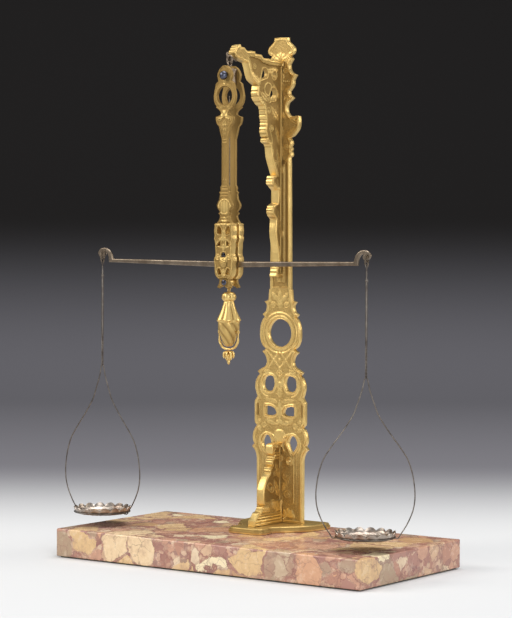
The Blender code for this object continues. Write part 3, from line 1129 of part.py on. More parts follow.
def make_pendant():
    """The vase ornament on its loop, its drop ring and the leaf bud under it."""
    hinge_z = PENDANT_EYE_Z - PENDANT_EYE_MAJOR
    origin = (STAND_X, BALANCE_Y, hinge_z)
    loop_z = hinge_z - PENDANT_EYE_MAJOR + PENDANT_EYE_WIRE + SEAT_GAP + PENDANT_EYE_WIRE
    profile = open_profile(PENDANT_PROFILE_SHARES, PENDANT_RADIUS, PENDANT_HEIGHT, 1)
    bm = bmesh.new()
    add_lathe(bm, profile, (STAND_X, BALANCE_Y, PENDANT_BOTTOM_Z))
    vase = finish("pendant_vase", bm, GILT, smooth=True)
    loop = bmesh.new()
    add_ring(loop, (STAND_X, BALANCE_Y, loop_z), PENDANT_EYE_MAJOR, PENDANT_EYE_WIRE, "YZ")
    join(vase, loop)
    pins = bmesh.new()
    pin_end = DROP_RING_HALF_WIDTH + DROP_RING_WIRE
    pin_path = [Vector((STAND_X + side * pin_end, BALANCE_Y, DROP_RING_PIVOT_Z))
                for side in (-1, 1)]
    add_tube(pins, pin_path, [TRUNNION_RADIUS] * 2)
    join(vase, pins)
    vase.data.transform(Matrix.Translation(-Vector(origin)))
    vase.location = origin
    make_drop_ring()


def make_drop_ring():
    """A wire ring on the vase's two pins, closed under it, with a leaf bud at its lowest point."""
    pivot = (STAND_X, BALANCE_Y, DROP_RING_PIVOT_Z)
    reach = DROP_RING_PIVOT_Z - DROP_RING_BOTTOM_Z
    route = []
    for k in range(DROP_RING_POINTS + 1):
        angle = math.pi * k / DROP_RING_POINTS
        wide = math.copysign(abs(math.cos(angle)) ** DROP_RING_SHARES[0], math.cos(angle))
        route.append(Vector((STAND_X + DROP_RING_HALF_WIDTH * wide, BALANCE_Y,
                             DROP_RING_PIVOT_Z - reach * math.sin(angle))))
    bm = bmesh.new()
    add_tube(bm, route, [DROP_RING_WIRE] * len(route))
    ring = finish("drop_ring", bm, GILT, smooth=True)
    eye_radius = DROP_RING_WIRE * DROP_RING_SHARES[1]
    for side in (-1, 1):
        eye = bmesh.new()
        start = STAND_X + side * (DROP_RING_HALF_WIDTH - DROP_RING_WIRE)
        end = STAND_X + side * (DROP_RING_HALF_WIDTH + DROP_RING_WIRE)
        add_tube(eye, [Vector((x, BALANCE_Y, DROP_RING_PIVOT_Z)) for x in (start, end)], [eye_radius] * 2)
        join(ring, eye)
        bore = bmesh.new()
        reach_in = STAND_X + side * (DROP_RING_HALF_WIDTH - 2 * DROP_RING_WIRE)
        reach_out = STAND_X + side * (DROP_RING_HALF_WIDTH + 2 * DROP_RING_WIRE)
        add_tube(bore, [Vector((x, BALANCE_Y, DROP_RING_PIVOT_Z)) for x in (reach_in, reach_out)],
                 [TRUNNION_RADIUS + BORE_GAP] * 2)
        cut(ring, bore)
    ring.data.transform(Matrix.Translation(-Vector(pivot)))
    ring.location = pivot
    bud_top = DROP_RING_BOTTOM_Z - DROP_RING_WIRE - SEAT_GAP
    profile = open_profile(LEAF_DROP_PROFILE_SHARES, LEAF_DROP_RADIUS, LEAF_DROP_LENGTH, 1)
    bm = bmesh.new()
    add_lathe(bm, profile, (STAND_X, BALANCE_Y, bud_top - LEAF_DROP_LENGTH), "Z", PIN_SEGMENTS)
    finish("leaf_drop", bm, GILT, pivot, smooth=True)


make_base()
make_pillar()
make_wall_screws()
make_bracket_and_gusset()
make_shears(make_hook_and_link())
make_beam()
make_hanger("left", -1, LEFT_BOW_TURN)
make_hanger("right", 1, RIGHT_BOW_TURN)
make_pendant()
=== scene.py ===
"""Looks of an ornate gilt beam balance: chased plates, wires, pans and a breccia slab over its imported
solids."""

import math

import bmesh
import bpy
import numpy as np
from mathutils import Matrix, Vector
from mathutils.geometry import delaunay_2d_cdt


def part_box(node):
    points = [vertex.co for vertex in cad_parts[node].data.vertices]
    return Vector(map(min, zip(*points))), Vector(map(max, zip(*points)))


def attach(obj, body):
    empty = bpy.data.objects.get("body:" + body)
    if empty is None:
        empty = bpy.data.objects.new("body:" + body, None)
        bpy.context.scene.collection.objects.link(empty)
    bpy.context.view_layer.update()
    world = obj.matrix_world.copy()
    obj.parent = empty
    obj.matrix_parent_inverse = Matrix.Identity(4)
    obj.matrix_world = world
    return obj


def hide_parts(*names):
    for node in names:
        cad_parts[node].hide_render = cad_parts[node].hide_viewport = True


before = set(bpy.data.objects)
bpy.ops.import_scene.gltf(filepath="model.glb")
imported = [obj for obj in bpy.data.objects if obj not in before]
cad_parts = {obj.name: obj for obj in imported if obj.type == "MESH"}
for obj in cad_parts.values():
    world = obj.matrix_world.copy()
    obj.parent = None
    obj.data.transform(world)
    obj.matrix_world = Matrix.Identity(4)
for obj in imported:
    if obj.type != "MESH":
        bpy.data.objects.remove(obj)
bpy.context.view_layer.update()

MM = 0.001
STAND_X = -0.008
BALANCE_Y = -0.0435
LEFT_X = STAND_X - 0.1929
RIGHT_X = STAND_X + 0.1929
KEY = 1e-6
BATCH = 4000
FULL_TURN = 2 * math.pi


# materials

def place(tree, kind, sockets=None, **settings):
    """Adds a shader node; sockets maps an input to a value or to the output that feeds it."""
    made = tree.nodes.new("ShaderNode" + kind)
    for key, value in settings.items():
        setattr(made, key, value)
    for key, value in (sockets or {}).items():
        if isinstance(value, bpy.types.NodeSocket):
            tree.links.new(value, made.inputs[key])
        else:
            made.inputs[key].default_value = value
    return made


def maths(tree, operation, first, second=0.5, clamp=False):
    """One Math node's output."""
    return place(tree, "Math", {0: first, 1: second}, operation=operation, use_clamp=clamp).outputs[0]


def blend(tree, share, first, second, kind="MIX"):
    """A colour between two colours."""
    made = place(tree, "Mix", {0: share, 6: first, 7: second}, data_type="RGBA", blend_type=kind)
    return made.outputs[2]


def times(tree, first, second, clamp=False):
    """The product of two values."""
    return maths(tree, "MULTIPLY", first, second, clamp)


def plus(tree, first, second):
    """The sum of two values."""
    return maths(tree, "ADD", first, second)


def ramp(tree, value, stops, mode="LINEAR"):
    """A colour ramp's output; stops are (place, colour)."""
    made = place(tree, "ValToRGB", {0: value})
    band = made.color_ramp
    band.interpolation = mode
    while len(band.elements) < len(stops):
        band.elements.new(0.5)
    for element, (spot, colour) in zip(band.elements, stops):
        element.position = spot
        element.color = colour if len(colour) == 4 else (*colour, 1)
    return made.outputs[0]


def grade(tree, value, low, high, start=0.0, end=1.0, mode="LINEAR"):
    """A ramp from one grey to another; start and end are how light they are."""
    return ramp(tree, value, [(low, (start,) * 3), (high, (end,) * 3)], mode)


def new_group(name, inputs, outputs):
    """A shader node group with float inputs (name, value) and outputs (name, kind)."""
    group = bpy.data.node_groups.new(name, "ShaderNodeTree")
    for label, value in inputs:
        socket = group.interface.new_socket(label, in_out="INPUT", socket_type="NodeSocketFloat")
        socket.default_value = value
    for label, kind in outputs:
        group.interface.new_socket(label, in_out="OUTPUT", socket_type="NodeSocket" + kind)
    return group, group.nodes.new("NodeGroupInput"), group.nodes.new("NodeGroupOutput")


def make_age_group():
    """Age: cloudy stains, fine grain and thin scratches over Object coordinates."""
    group, given, out = new_group("age", [("Scale", 60.0)],
                                  [("Stain", "Float"), ("Grain", "Float"), ("Scratch", "Float")])
    where = place(group, "TexCoord").outputs["Object"]
    stain = place(group, "TexNoise", {"Vector": where, "Scale": given.outputs["Scale"], "Detail": 6.0,
                                      "Roughness": 0.6})
    fine = times(group, given.outputs["Scale"], 22.0)
    grain = place(group, "TexNoise", {"Vector": where, "Scale": fine, "Detail": 3.0, "Roughness": 0.7})
    turned = place(group, "Mapping", {"Vector": where, "Rotation": (0.3, 0.7, 0.5),
                                      "Scale": (1.0, 14.0, 1.0)})
    lines = place(group, "TexNoise", {"Vector": turned.outputs[0],
                                      "Scale": times(group, given.outputs["Scale"], 3.0), "Detail": 5.0,
                                      "Roughness": 0.75})
    scratch = ramp(group, lines.outputs[0], [(0.60, (0, 0, 0)), (0.68, (1, 1, 1)), (0.74, (0, 0, 0))])
    group.links.new(stain.outputs[0], out.inputs["Stain"])
    group.links.new(grain.outputs[0], out.inputs["Grain"])
    group.links.new(scratch, out.inputs["Scratch"])
    return group


def make_chasing_group():
    """Chasing: the punched ground of small dots between tooled lines."""
    group, given, out = new_group("chasing", [("Dots", 900.0)], [("Height", "Float"), ("Pit", "Float")])
    where = place(group, "TexCoord").outputs["Object"]
    dots = place(group, "TexVoronoi", {"Vector": where, "Scale": given.outputs["Dots"], "Randomness": 0.75},
                 feature="SMOOTH_F1")
    curl = place(group, "TexNoise", {"Vector": where, "Scale": times(group, given.outputs["Dots"], 0.16),
                                     "Detail": 2.0, "Distortion": 2.2})
    vein = maths(group, "PINGPONG", times(group, curl.outputs[0], 7.0), 0.5)
    pit = grade(group, dots.outputs["Distance"], 0.15, 0.62, 1.0, 0.0)
    height = maths(group, "SUBTRACT", times(group, vein, 0.9), times(group, pit, 0.35))
    group.links.new(height, out.inputs["Height"])
    group.links.new(pit, out.inputs["Pit"])
    return group


AGE = make_age_group()
CHASING = make_chasing_group()


def new_material(name, **constants):
    """A material with one Principled shader; constants go straight onto its sockets."""
    material = bpy.data.materials.new(name)
    material.use_nodes = True
    tree = material.node_tree
    shader = tree.nodes["Principled BSDF"]
    for key, value in constants.items():
        shader.inputs[key.replace("_", " ")].default_value = value
    return material, tree, shader


def grouped(tree, group, socket, value):
    """The outputs of a node group placed in a material, with one of its inputs set."""
    made = tree.nodes.new("ShaderNodeGroup")
    made.node_tree = group
    made.inputs[socket].default_value = value
    return made.outputs


def join_bump(tree, shader, height, depth, strength=0.6):
    """Feeds a height into the shader's normal through a Bump node; depth in metres."""
    bump = place(tree, "Bump", {"Height": height, "Distance": depth, "Strength": strength})
    tree.links.new(bump.outputs[0], shader.inputs["Normal"])


def make_gilt():
    """Fire gilding: warm bright gold on raised work, rougher in the hollows, with painted shade that darkens
    the hollows and the punched ground towards a brown gold.
    """
    bright, amber = (0.84, 0.60, 0.22, 1), (0.70, 0.47, 0.16, 1)
    pale, painted_shade_gold = (0.90, 0.74, 0.42, 1), (0.30, 0.185, 0.055, 1)
    material, tree, shader = new_material("fire_gilding", Metallic=0.82)
    age = grouped(tree, AGE, "Scale", 55.0)
    chase = grouped(tree, CHASING, "Dots", 900.0)
    hollow = place(tree, "Attribute", attribute_name="hollow").outputs["Fac"]
    tooled = place(tree, "Attribute", attribute_name="tooled").outputs["Fac"]
    warm = blend(tree, grade(tree, age["Stain"], 0.35, 0.68), bright, amber)
    worn = blend(tree, times(tree, age["Scratch"], 0.25), warm, pale)
    # painted shade: the hollow mark darkens sunk work towards a brown shade gold
    shade = times(tree, hollow, 0.9, clamp=True)
    shaded_gilt = blend(tree, shade, worn, painted_shade_gold)
    # painted shade: the punched ground between the tooled lines, where the chased height is low, also turns
    # towards the shade gold
    engraved = grade(tree, chase["Height"], 0.0, 0.16, 1.0, 0.0)
    punched_ground_shade = times(tree, times(tree, engraved, tooled), 0.55)
    tree.links.new(blend(tree, punched_ground_shade, shaded_gilt, painted_shade_gold), shader.inputs["Base Color"])
    rough = plus(tree, times(tree, age["Grain"], 0.22), times(tree, hollow, 0.22))
    tree.links.new(plus(tree, rough, 0.25), shader.inputs["Roughness"])
    height = plus(tree, times(tree, age["Grain"], 0.22), times(tree, chase["Height"], tooled))
    join_bump(tree, shader, height, 0.0004, 0.6)
    return material


def make_steel(name, light, dark, scale=70.0, rough=0.30, spread=0.30):
    """Aged plain metal: two tones in clouds, fine grain and a few bright scratches."""
    material, tree, shader = new_material(name, Metallic=1.0)
    age = grouped(tree, AGE, "Scale", scale)
    tone = blend(tree, grade(tree, age["Stain"], 0.32, 0.66), (*light, 1), (*dark, 1))
    bright = tuple(min(1.0, part * 1.7) for part in light)
    tree.links.new(blend(tree, times(tree, age["Scratch"], 0.4), tone, (*bright, 1)),
                   shader.inputs["Base Color"])
    tree.links.new(plus(tree, times(tree, age["Stain"], spread), rough - spread / 2 + 0.05),
                   shader.inputs["Roughness"])
    join_bump(tree, shader, plus(tree, age["Grain"], age["Scratch"]), 0.00012, 0.5)
    return material


def stone_layer(tree, where, scale, tones, rough):
    """Broken stones of one size: each cell's own tone, and how near its border is."""
    bend = place(tree, "TexNoise", {"Vector": where, "Scale": scale * 1.3, "Detail": 5.0, "Roughness": 0.62})
    push = place(tree, "VectorMath", {0: bend.outputs["Color"], 1: (0.5, 0.5, 0.5)}, operation="SUBTRACT")
    shift = place(tree, "VectorMath", {0: push.outputs[0], "Scale": rough / scale}, operation="SCALE")
    spot = place(tree, "VectorMath", {0: where, 1: shift.outputs[0]}, operation="ADD").outputs[0]
    cells = place(tree, "TexVoronoi", {"Vector": spot, "Scale": scale, "Randomness": 1.0})
    border = place(tree, "TexVoronoi", {"Vector": spot, "Scale": scale, "Randomness": 1.0},
                   feature="DISTANCE_TO_EDGE")
    parts = place(tree, "SeparateColor", {0: cells.outputs["Color"]}).outputs
    return ramp(tree, parts[0], tones, "CONSTANT"), border.outputs["Distance"], parts


def make_breccia():
    """Polished breccia: tan, rose and cream stones of three sizes in a dark rose matrix, with milky
    clouds."""
    material, tree, shader = new_material("polished_breccia", IOR=1.5)
    where = place(tree, "TexCoord").outputs["Object"]
    aside = place(tree, "Mapping", {"Vector": where, "Location": (0.31, 0.17, 0.45),
                                    "Rotation": (0.5, 0.3, 0.9)}).outputs[0]
    big_tones = [(0.00, (0.74, 0.50, 0.26)), (0.15, (0.60, 0.36, 0.18)), (0.28, (0.88, 0.73, 0.47)),
                 (0.42, (0.66, 0.36, 0.21)), (0.55, (0.72, 0.48, 0.24)), (0.68, (0.44, 0.31, 0.20)),
                 (0.78, (0.66, 0.37, 0.24)), (0.90, (0.82, 0.60, 0.36))]
    mid_tones = [(0.00, (0.50, 0.25, 0.17)), (0.18, (0.66, 0.43, 0.27)), (0.34, (0.38, 0.18, 0.14)),
                 (0.48, (0.60, 0.33, 0.22)),
                 (0.60, (0.45, 0.31, 0.21)), (0.74, (0.76, 0.58, 0.39)), (0.88, (0.44, 0.22, 0.17))]
    crumb_tones = [(0.00, (0.42, 0.20, 0.15)), (0.26, (0.30, 0.13, 0.11)), (0.46, (0.58, 0.36, 0.25)),
                   (0.66, (0.36, 0.20, 0.16)), (0.84, (0.70, 0.50, 0.34))]
    big, big_edge, big_parts = stone_layer(tree, where, 24.0, big_tones, 0.75)
    mid, mid_edge, mid_parts = stone_layer(tree, aside, 62.0, mid_tones, 0.85)
    crumb = stone_layer(tree, where, 200.0, crumb_tones, 0.9)[0]
    cloud = place(tree, "TexNoise", {"Vector": aside, "Scale": 80.0, "Detail": 9.0,
                                     "Roughness": 0.7}).outputs[0]
    haze = place(tree, "TexNoise", {"Vector": where, "Scale": 28.0, "Detail": 3.0,
                                    "Distortion": 0.8}).outputs[0]
    keeps_big = times(tree, grade(tree, big_parts[1], 0.50, 0.51),
                      grade(tree, big_edge, 0.03, 0.05))
    keeps_mid = times(tree, grade(tree, mid_parts[1], 0.30, 0.31),
                      grade(tree, mid_edge, 0.03, 0.06))
    ground = blend(tree, grade(tree, haze, 0.38, 0.66, 0.0, 0.7), crumb, (0.52, 0.26, 0.17, 1))
    stones = blend(tree, keeps_big, blend(tree, keeps_mid, ground, mid), big)
    tint = blend(tree, grade(tree, cloud, 0.25, 0.50, 0.85, 0.0), stones, (0.42, 0.23, 0.16, 1))
    milk = blend(tree, grade(tree, cloud, 0.52, 0.80, 0.0, 0.55), tint, (0.80, 0.64, 0.46, 1))
    vein = grade(tree, mid_edge, 0.0, 0.03, 1.0, 0.0)
    rim = ramp(tree, big_edge, [(0.0, (0, 0, 0)), (0.028, (1, 1, 1)), (0.05, (0, 0, 0))])
    lines = times(tree, maths(tree, "MAXIMUM", vein, rim), grade(tree, haze, 0.35, 0.6, 0.1, 0.7))
    tree.links.new(blend(tree, lines, milk, (0.20, 0.085, 0.07, 1)), shader.inputs["Base Color"])
    tree.links.new(plus(tree, times(tree, cloud, 0.20), 0.16), shader.inputs["Roughness"])
    join_bump(tree, shader, maths(tree, "SUBTRACT", cloud, times(tree, lines, 0.8)), 0.00018, 0.35)
    return material


def make_baize():
    """Dark green felt: short fibres over a faint weave."""
    material, tree, shader = new_material("felt", Roughness=0.95, Sheen_Weight=0.25)
    where = place(tree, "TexCoord").outputs["Object"]
    fibre = place(tree, "TexNoise", {"Vector": where, "Scale": 1500.0, "Detail": 4.0, "Roughness": 0.8})
    weave = place(tree, "TexWave", {"Vector": where, "Scale": 420.0, "Distortion": 1.5, "Detail": 2.0})
    mixed = plus(tree, times(tree, fibre.outputs[0], 0.7), times(tree, weave.outputs[0], 0.3))
    tree.links.new(ramp(tree, mixed, [(0.3, (0.012, 0.028, 0.016)), (0.7, (0.05, 0.09, 0.055))]),
                   shader.inputs["Base Color"])
    join_bump(tree, shader, mixed, 0.0004, 0.6)
    return material


def make_floor_paint():
    """Pale studio floor with painted shade: it turns grey behind the object and nearly black up the backdrop,
    standing in for the light falling off.
    """
    material, tree, shader = new_material("studio_floor", Roughness=0.85)
    where = place(tree, "TexCoord").outputs["Object"]
    haze = place(tree, "TexNoise", {"Vector": where, "Scale": 1.2, "Detail": 2.0})
    behind = place(tree, "VectorMath", {0: where, 1: (-0.1465, 0.2025, 0.0)},
                   operation="DOT_PRODUCT").outputs["Value"]
    height = place(tree, "SeparateXYZ", {0: where}).outputs[2]
    # painted shade: masks for the floor far behind the object and for the sweep as it rises
    far = grade(tree, behind, 0.05, 0.29, mode="EASE")
    high = grade(tree, height, 0.04, 0.44, mode="EASE")
    pale = grade(tree, haze.outputs[0], 0.3, 0.7, 0.64, 0.66)
    grey = blend(tree, far, pale, (0.170, 0.164, 0.182, 1))
    tree.links.new(blend(tree, high, grey, (0.0035, 0.0018, 0.0012, 1)), shader.inputs["Base Color"])
    return material


GILT = make_gilt()
STEEL = make_steel("aged_steel", (0.29, 0.23, 0.17), (0.14, 0.105, 0.075))
BLUED = make_steel("blued_steel", (0.13, 0.14, 0.19), (0.05, 0.045, 0.05), 160.0, 0.22, 0.2)
WIRE = make_steel("drawn_wire", (0.24, 0.21, 0.18), (0.09, 0.075, 0.065), 120.0, 0.38)
SILVER = make_steel("silvered_brass", (0.56, 0.50, 0.43), (0.24, 0.17, 0.13), 85.0, 0.30, 0.3)
BRECCIA = make_breccia()
BAIZE = make_baize()


# surfaces

def placed(name, mesh, material, body, nodes):
    """Puts a mesh into the scene as a piece, and says what it rides on, what it is made of and what it
    replaces."""
    mesh.materials.append(material)
    piece = bpy.data.objects.new(name, mesh)
    bpy.context.scene.collection.objects.link(piece)
    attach(piece, body)
    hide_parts(*nodes)
    return piece


def finished(name, skin, material, body, nodes, sharp=38.0):
    """Puts a skin (points, triangles, quads, marks) into a mesh, faces outwards, and says what it stands
    for."""
    points, triangles, quads, marks = skin
    triangles = np.asarray(triangles, np.int64).reshape(-1, 3)
    quads = np.asarray(quads, np.int64).reshape(-1, 4)
    solid = np.concatenate([triangles, quads[:, [0, 1, 2]], quads[:, [0, 2, 3]]])
    a, b, c = (points[solid[:, k]] for k in range(3))
    if np.einsum("ij,ij->", a, np.cross(b, c)) < 0:
        triangles, quads = triangles[:, ::-1], quads[:, ::-1]
    loops = np.concatenate([triangles.ravel(), quads.ravel()]).astype(np.int32)
    starts = np.concatenate([np.arange(len(triangles)) * 3, len(triangles) * 3 + np.arange(len(quads)) * 4])
    mesh = bpy.data.meshes.new(name)
    mesh.vertices.add(len(points))
    mesh.vertices.foreach_set("co", np.asarray(points, np.float32).ravel())
    mesh.loops.add(len(loops))
    mesh.loops.foreach_set("vertex_index", loops)
    mesh.polygons.add(len(starts))
    mesh.polygons.foreach_set("loop_start", starts.astype(np.int32))
    mesh.update(calc_edges=True)
    mesh.validate()
    for label, values in (marks or {}).items():
        layer = mesh.attributes.new(label, "FLOAT", "POINT")
        layer.data.foreach_set("value", np.asarray(values, np.float32))
    mesh.shade_smooth()
    mesh.set_sharp_from_angle(angle=math.radians(sharp))
    return placed(name, mesh, material, body, nodes)


def tube(rings, looped=False, marks=None):
    """Skin of rings carried along a path; open ends close in a fan to the ring's middle."""
    count, sides = rings.shape[:2]
    points = rings.reshape(-1, 3)
    i, j = np.meshgrid(np.arange(count if looped else count - 1), np.arange(sides), indexing="ij")
    after, beside = (i + 1) % count, (j + 1) % sides
    quads = np.stack([i * sides + j, i * sides + beside, after * sides + beside, after * sides + j], -1)
    if looped:
        return points, np.zeros((0, 3), int), quads.reshape(-1, 4), marks
    base, last = len(points), (count - 1) * sides
    k = np.arange(sides)
    first_fan = np.stack([np.full(sides, base), (k + 1) % sides, k], 1)
    last_fan = np.stack([np.full(sides, base + 1), last + k, last + (k + 1) % sides], 1)
    points = np.concatenate([points, rings[:1].mean(1), rings[-1:].mean(1)])
    if marks:
        marks = {label: np.append(values, [values[0], values[-1]]) for label, values in marks.items()}
    return points, np.concatenate([first_fan, last_fan]), quads.reshape(-1, 4), marks


def joined(*skins):
    """Several skins as one."""
    starts = np.cumsum([0] + [len(skin[0]) for skin in skins[:-1]])
    points = np.concatenate([skin[0] for skin in skins])
    triangles = np.concatenate([np.asarray(skin[1]).reshape(-1, 3) + start for skin,
                                start in zip(skins, starts)])
    quads = np.concatenate([np.asarray(skin[2]).reshape(-1, 4) + start for skin, start in zip(skins, starts)])
    labels = sorted({label for skin in skins for label in (skin[3] or {})})
    marks = {label: np.concatenate([(skin[3] or {}).get(label, np.zeros(len(skin[0]))) for skin in skins])
             for label in labels}
    return points, triangles, quads, marks


def eased(knots, per=8):
    """A smooth line through knots: each span is the cubic whose end slopes aim at the next knots."""
    knots = np.asarray(knots, float)
    ends = np.concatenate([[2 * knots[0] - knots[1]], knots, [2 * knots[-1] - knots[-2]]])
    t = np.linspace(0, 1, per, endpoint=False)[None, :, None]
    p0, p1, p2, p3 = (ends[k:len(knots) - 1 + k, None] for k in range(4))
    lengths = np.linalg.norm(p2 - p1, axis=2, keepdims=True)
    before = np.linalg.norm(p1 - p0, axis=2, keepdims=True)
    beyond = np.linalg.norm(p3 - p2, axis=2, keepdims=True)
    m1 = (p2 - p0) / (before + lengths) * lengths
    m2 = (p3 - p1) / (lengths + beyond) * lengths
    line = (2 * t**3 - 3 * t**2 + 1) * p1 + (t**3 - 2 * t**2 + t) * m1
    line = line + (3 * t**2 - 2 * t**3) * p2 + (t**3 - t**2) * m2
    return np.concatenate([line.reshape(-1, knots.shape[1]), knots[-1:]])


def wire(path, radius, across=(0, 1, 0), sides=14, looped=False, blunt=True):
    """A round bar: a circle carried square along a path; across is a direction never along the path."""
    path = np.asarray(path, float)
    radius = np.broadcast_to(np.asarray(radius, float), (len(path),))
    if looped:
        run = np.roll(path, -1, 0) - np.roll(path, 1, 0)
    else:
        run = np.gradient(path, axis=0)
    run = run / np.linalg.norm(run, axis=1, keepdims=True)
    if blunt and not looped:
        bow = np.linspace(0, math.pi / 2, 5)[1:]
        head = path[:1] - run[:1] * radius[0] * np.sin(bow[::-1])[:, None]
        tail = path[-1:] + run[-1:] * radius[-1] * np.sin(bow)[:, None]
        thin = np.maximum(np.cos(bow), 0.05)
        path = np.concatenate([head, path, tail])
        radius = np.concatenate([radius[0] * thin[::-1], radius, radius[-1] * thin])
        run = np.concatenate([np.repeat(run[:1], 4, 0), run, np.repeat(run[-1:], 4, 0)])
    side = np.cross(run, across)
    side = side / np.linalg.norm(side, axis=1, keepdims=True)
    other = np.cross(side, run)
    turn = np.linspace(0, FULL_TURN, sides, endpoint=False)[None, :, None]
    rings = path[:, None] + radius[:, None, None] * (side[:, None] * np.cos(turn) + other[:, None]
                                                     * np.sin(turn))
    return tube(rings, looped)


def circle(centre, radius, plane="XZ", count=40, stretch=1.0):
    """Points of a ring about a centre; stretch lengthens its second direction."""
    turn = np.linspace(0, FULL_TURN, count, endpoint=False)
    first, second = {"XY": (0, 1), "XZ": (0, 2), "YZ": (1, 2)}[plane]
    line = np.tile(np.asarray(centre, float), (count, 1))
    line[:, first] += radius * np.cos(turn)
    line[:, second] += radius * stretch * np.sin(turn)
    return line


SQUARE_TO = {"XY": (0, 0, 1), "XZ": (0, 1, 0), "YZ": (1, 0, 0)}


def ring(centre, radius, thickness, plane="XZ", stretch=1.0, sides=12):
    """A closed wire ring."""
    return wire(circle(centre, radius, plane, 44, stretch), thickness, SQUARE_TO[plane], sides, looped=True)


def turned(profile, centre, axis=2, sides=64, swell=None, hollow=None):
    """A turned form: profile rows (radius, along) taken round an axis; swell(angle, share) scales the
    radius."""
    profile = np.asarray(profile, float)
    turn = np.linspace(0, FULL_TURN, sides, endpoint=False)[None]
    share = np.linspace(0, 1, len(profile))[:, None]
    radius = np.maximum(profile[:, :1], 1e-5) * (swell(turn, share) if swell else np.ones_like(turn))
    order = {2: (0, 1, 2), 1: (0, 2, 1), 0: (1, 2, 0)}[axis]
    rings = np.empty((len(profile), sides, 3))
    rings[..., order[0]] = radius * np.cos(turn)
    rings[..., order[1]] = radius * np.sin(turn)
    rings[..., order[2]] = profile[:, 1:2]
    marks = None
    # hollow(angle, share) gives a mark of painted shade
    if hollow:
        marks = {"hollow": np.broadcast_to(hollow(turn, share), rings.shape[:2]).ravel()}
    return tube(rings + np.asarray(centre, float), False, marks)


# chased plates

def corners_of(node):
    """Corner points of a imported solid's triangles, one row of three for each."""
    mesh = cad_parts[node].data
    mesh.calc_loop_triangles()
    points = np.empty(len(mesh.vertices) * 3, np.float32)
    mesh.vertices.foreach_get("co", points)
    index = np.empty(len(mesh.loop_triangles) * 3, np.int32)
    mesh.loop_triangles.foreach_get("vertices", index)
    return points.reshape(-1, 3)[index].reshape(-1, 3, 3).astype(float)


def faces_looking(corners, side, screw_bore=3.0 * MM):
    """The triangles that look along the depth axis, to its low side (-1) or its high side (1).

    The wall of a screw's bore inside the plate looks that way too, deep under the outer face, and is left
    out.
    """
    normal = np.cross(corners[:, 1] - corners[:, 0], corners[:, 2] - corners[:, 0])
    looking = corners[normal[:, 2] * side > 0.5 * np.linalg.norm(normal, axis=1)]
    middles = looking.mean(1)
    return looking[middles[:, 2] * side > depth_over(middles[:, :2], looking, side) - screw_bore]


def inside(points, edges):
    """Whether a level line from each point crosses the edges an odd number of times."""
    odd = np.zeros(len(points), bool)
    u, v = points.T
    for (ua, va), (ub, vb) in edges:
        if va != vb:
            spans = (va > v) != (vb > v)
            odd ^= spans & (u < ua + (v - va) / (vb - va) * (ub - ua))
    return odd


def distance(points, edges):
    """Distance from each point to the nearest edge."""
    best = np.full(len(points), np.inf)
    for start, end in edges:
        along = end - start
        t = np.clip((points - start) @ along / max(along @ along, 1e-18), 0, 1)
        best = np.minimum(best, ((points - start - t[:, None] * along) ** 2).sum(1))
    return np.sqrt(best)


def open_edges(triangles):
    """Edges that only one of the triangles has, seen along the depth axis."""
    keys = np.round(triangles[:, :, :2] / KEY).astype(np.int64)
    pairs = [tuple(row) for row in np.concatenate([keys, np.roll(keys, -1, 1)], 2).reshape(-1, 4)]
    known = set(pairs)
    kept = [pair for pair in pairs if (pair[2], pair[3], pair[0], pair[1]) not in known]
    return np.array(kept, float).reshape(-1, 2, 2) * KEY


def sorted_edges(triangles):
    """Splits the open edges into outline and steps, and gives the inward direction of each outline edge."""
    edges = open_edges(triangles)
    edges = edges[np.linalg.norm(edges[:, 1] - edges[:, 0], axis=1) > 2 * KEY]
    middle = edges.mean(1)
    along = edges[:, 1] - edges[:, 0]
    normal = np.stack([-along[:, 1], along[:, 0]], 1) / np.linalg.norm(along, axis=1, keepdims=True)
    probe = 0.04 * MM
    left = inside(middle + normal * probe, edges)
    right = inside(middle - normal * probe, edges)
    rim = left != right
    return edges[rim], normal[rim] * np.where(left[rim], 1, -1)[:, None], edges[left & right], edges


def divided(edges, step):
    """Edges cut to a step's length; the ends of each stay."""
    pieces, owner = [], []
    for index, (start, end) in enumerate(edges):
        count = max(1, int(math.ceil(np.linalg.norm(end - start) / step)))
        t = np.linspace(0, 1, count + 1)[:, None]
        line = start + t * (end - start)
        pieces.append(np.stack([line[:-1], line[1:]], 1))
        owner += [index] * count
    return np.concatenate(pieces), np.array(owner)


def indexed(edges):
    """The edges' points without repeats, and the edges as pairs of their numbers."""
    keys = np.round(edges.reshape(-1, 2) / KEY).astype(np.int64)
    unique, number = np.unique(keys, axis=0, return_inverse=True)
    return unique * KEY, number.reshape(-1, 2)


def depth_over(points, triangles, side):
    """Depth of the outermost face over each point, looking along the depth axis."""
    slack = 3e-5
    depth = np.full(len(points), -np.inf)
    u, v = points.T
    for corner in triangles:
        flat = corner[:, :2]
        low, high = flat.min(0) - slack, flat.max(0) + slack
        near = np.flatnonzero((u >= low[0]) & (u <= high[0]) & (v >= low[1]) & (v <= high[1]))
        if not len(near):
            continue
        area = np.cross(flat[1] - flat[0], flat[2] - flat[0])
        if abs(area) < 1e-14:
            continue
        here = points[near]
        weights = []
        fits = np.ones(len(near), bool)
        for k in range(3):
            start = flat[(k + 1) % 3]
            run, reach = flat[(k + 2) % 3] - start, here - start
            cross = (run[0] * reach[:, 1] - run[1] * reach[:, 0]) * np.sign(area)
            fits &= cross > -slack * np.linalg.norm(run)
            weights.append(cross / abs(area))
        value = sum(weight * corner[k, 2] for k, weight in enumerate(weights)) * side
        depth[near[fits]] = np.maximum(depth[near[fits]], value[fits])
    bad = ~np.isfinite(depth)
    if bad.any():
        depth[bad] = np.median(depth[~bad])
    return depth


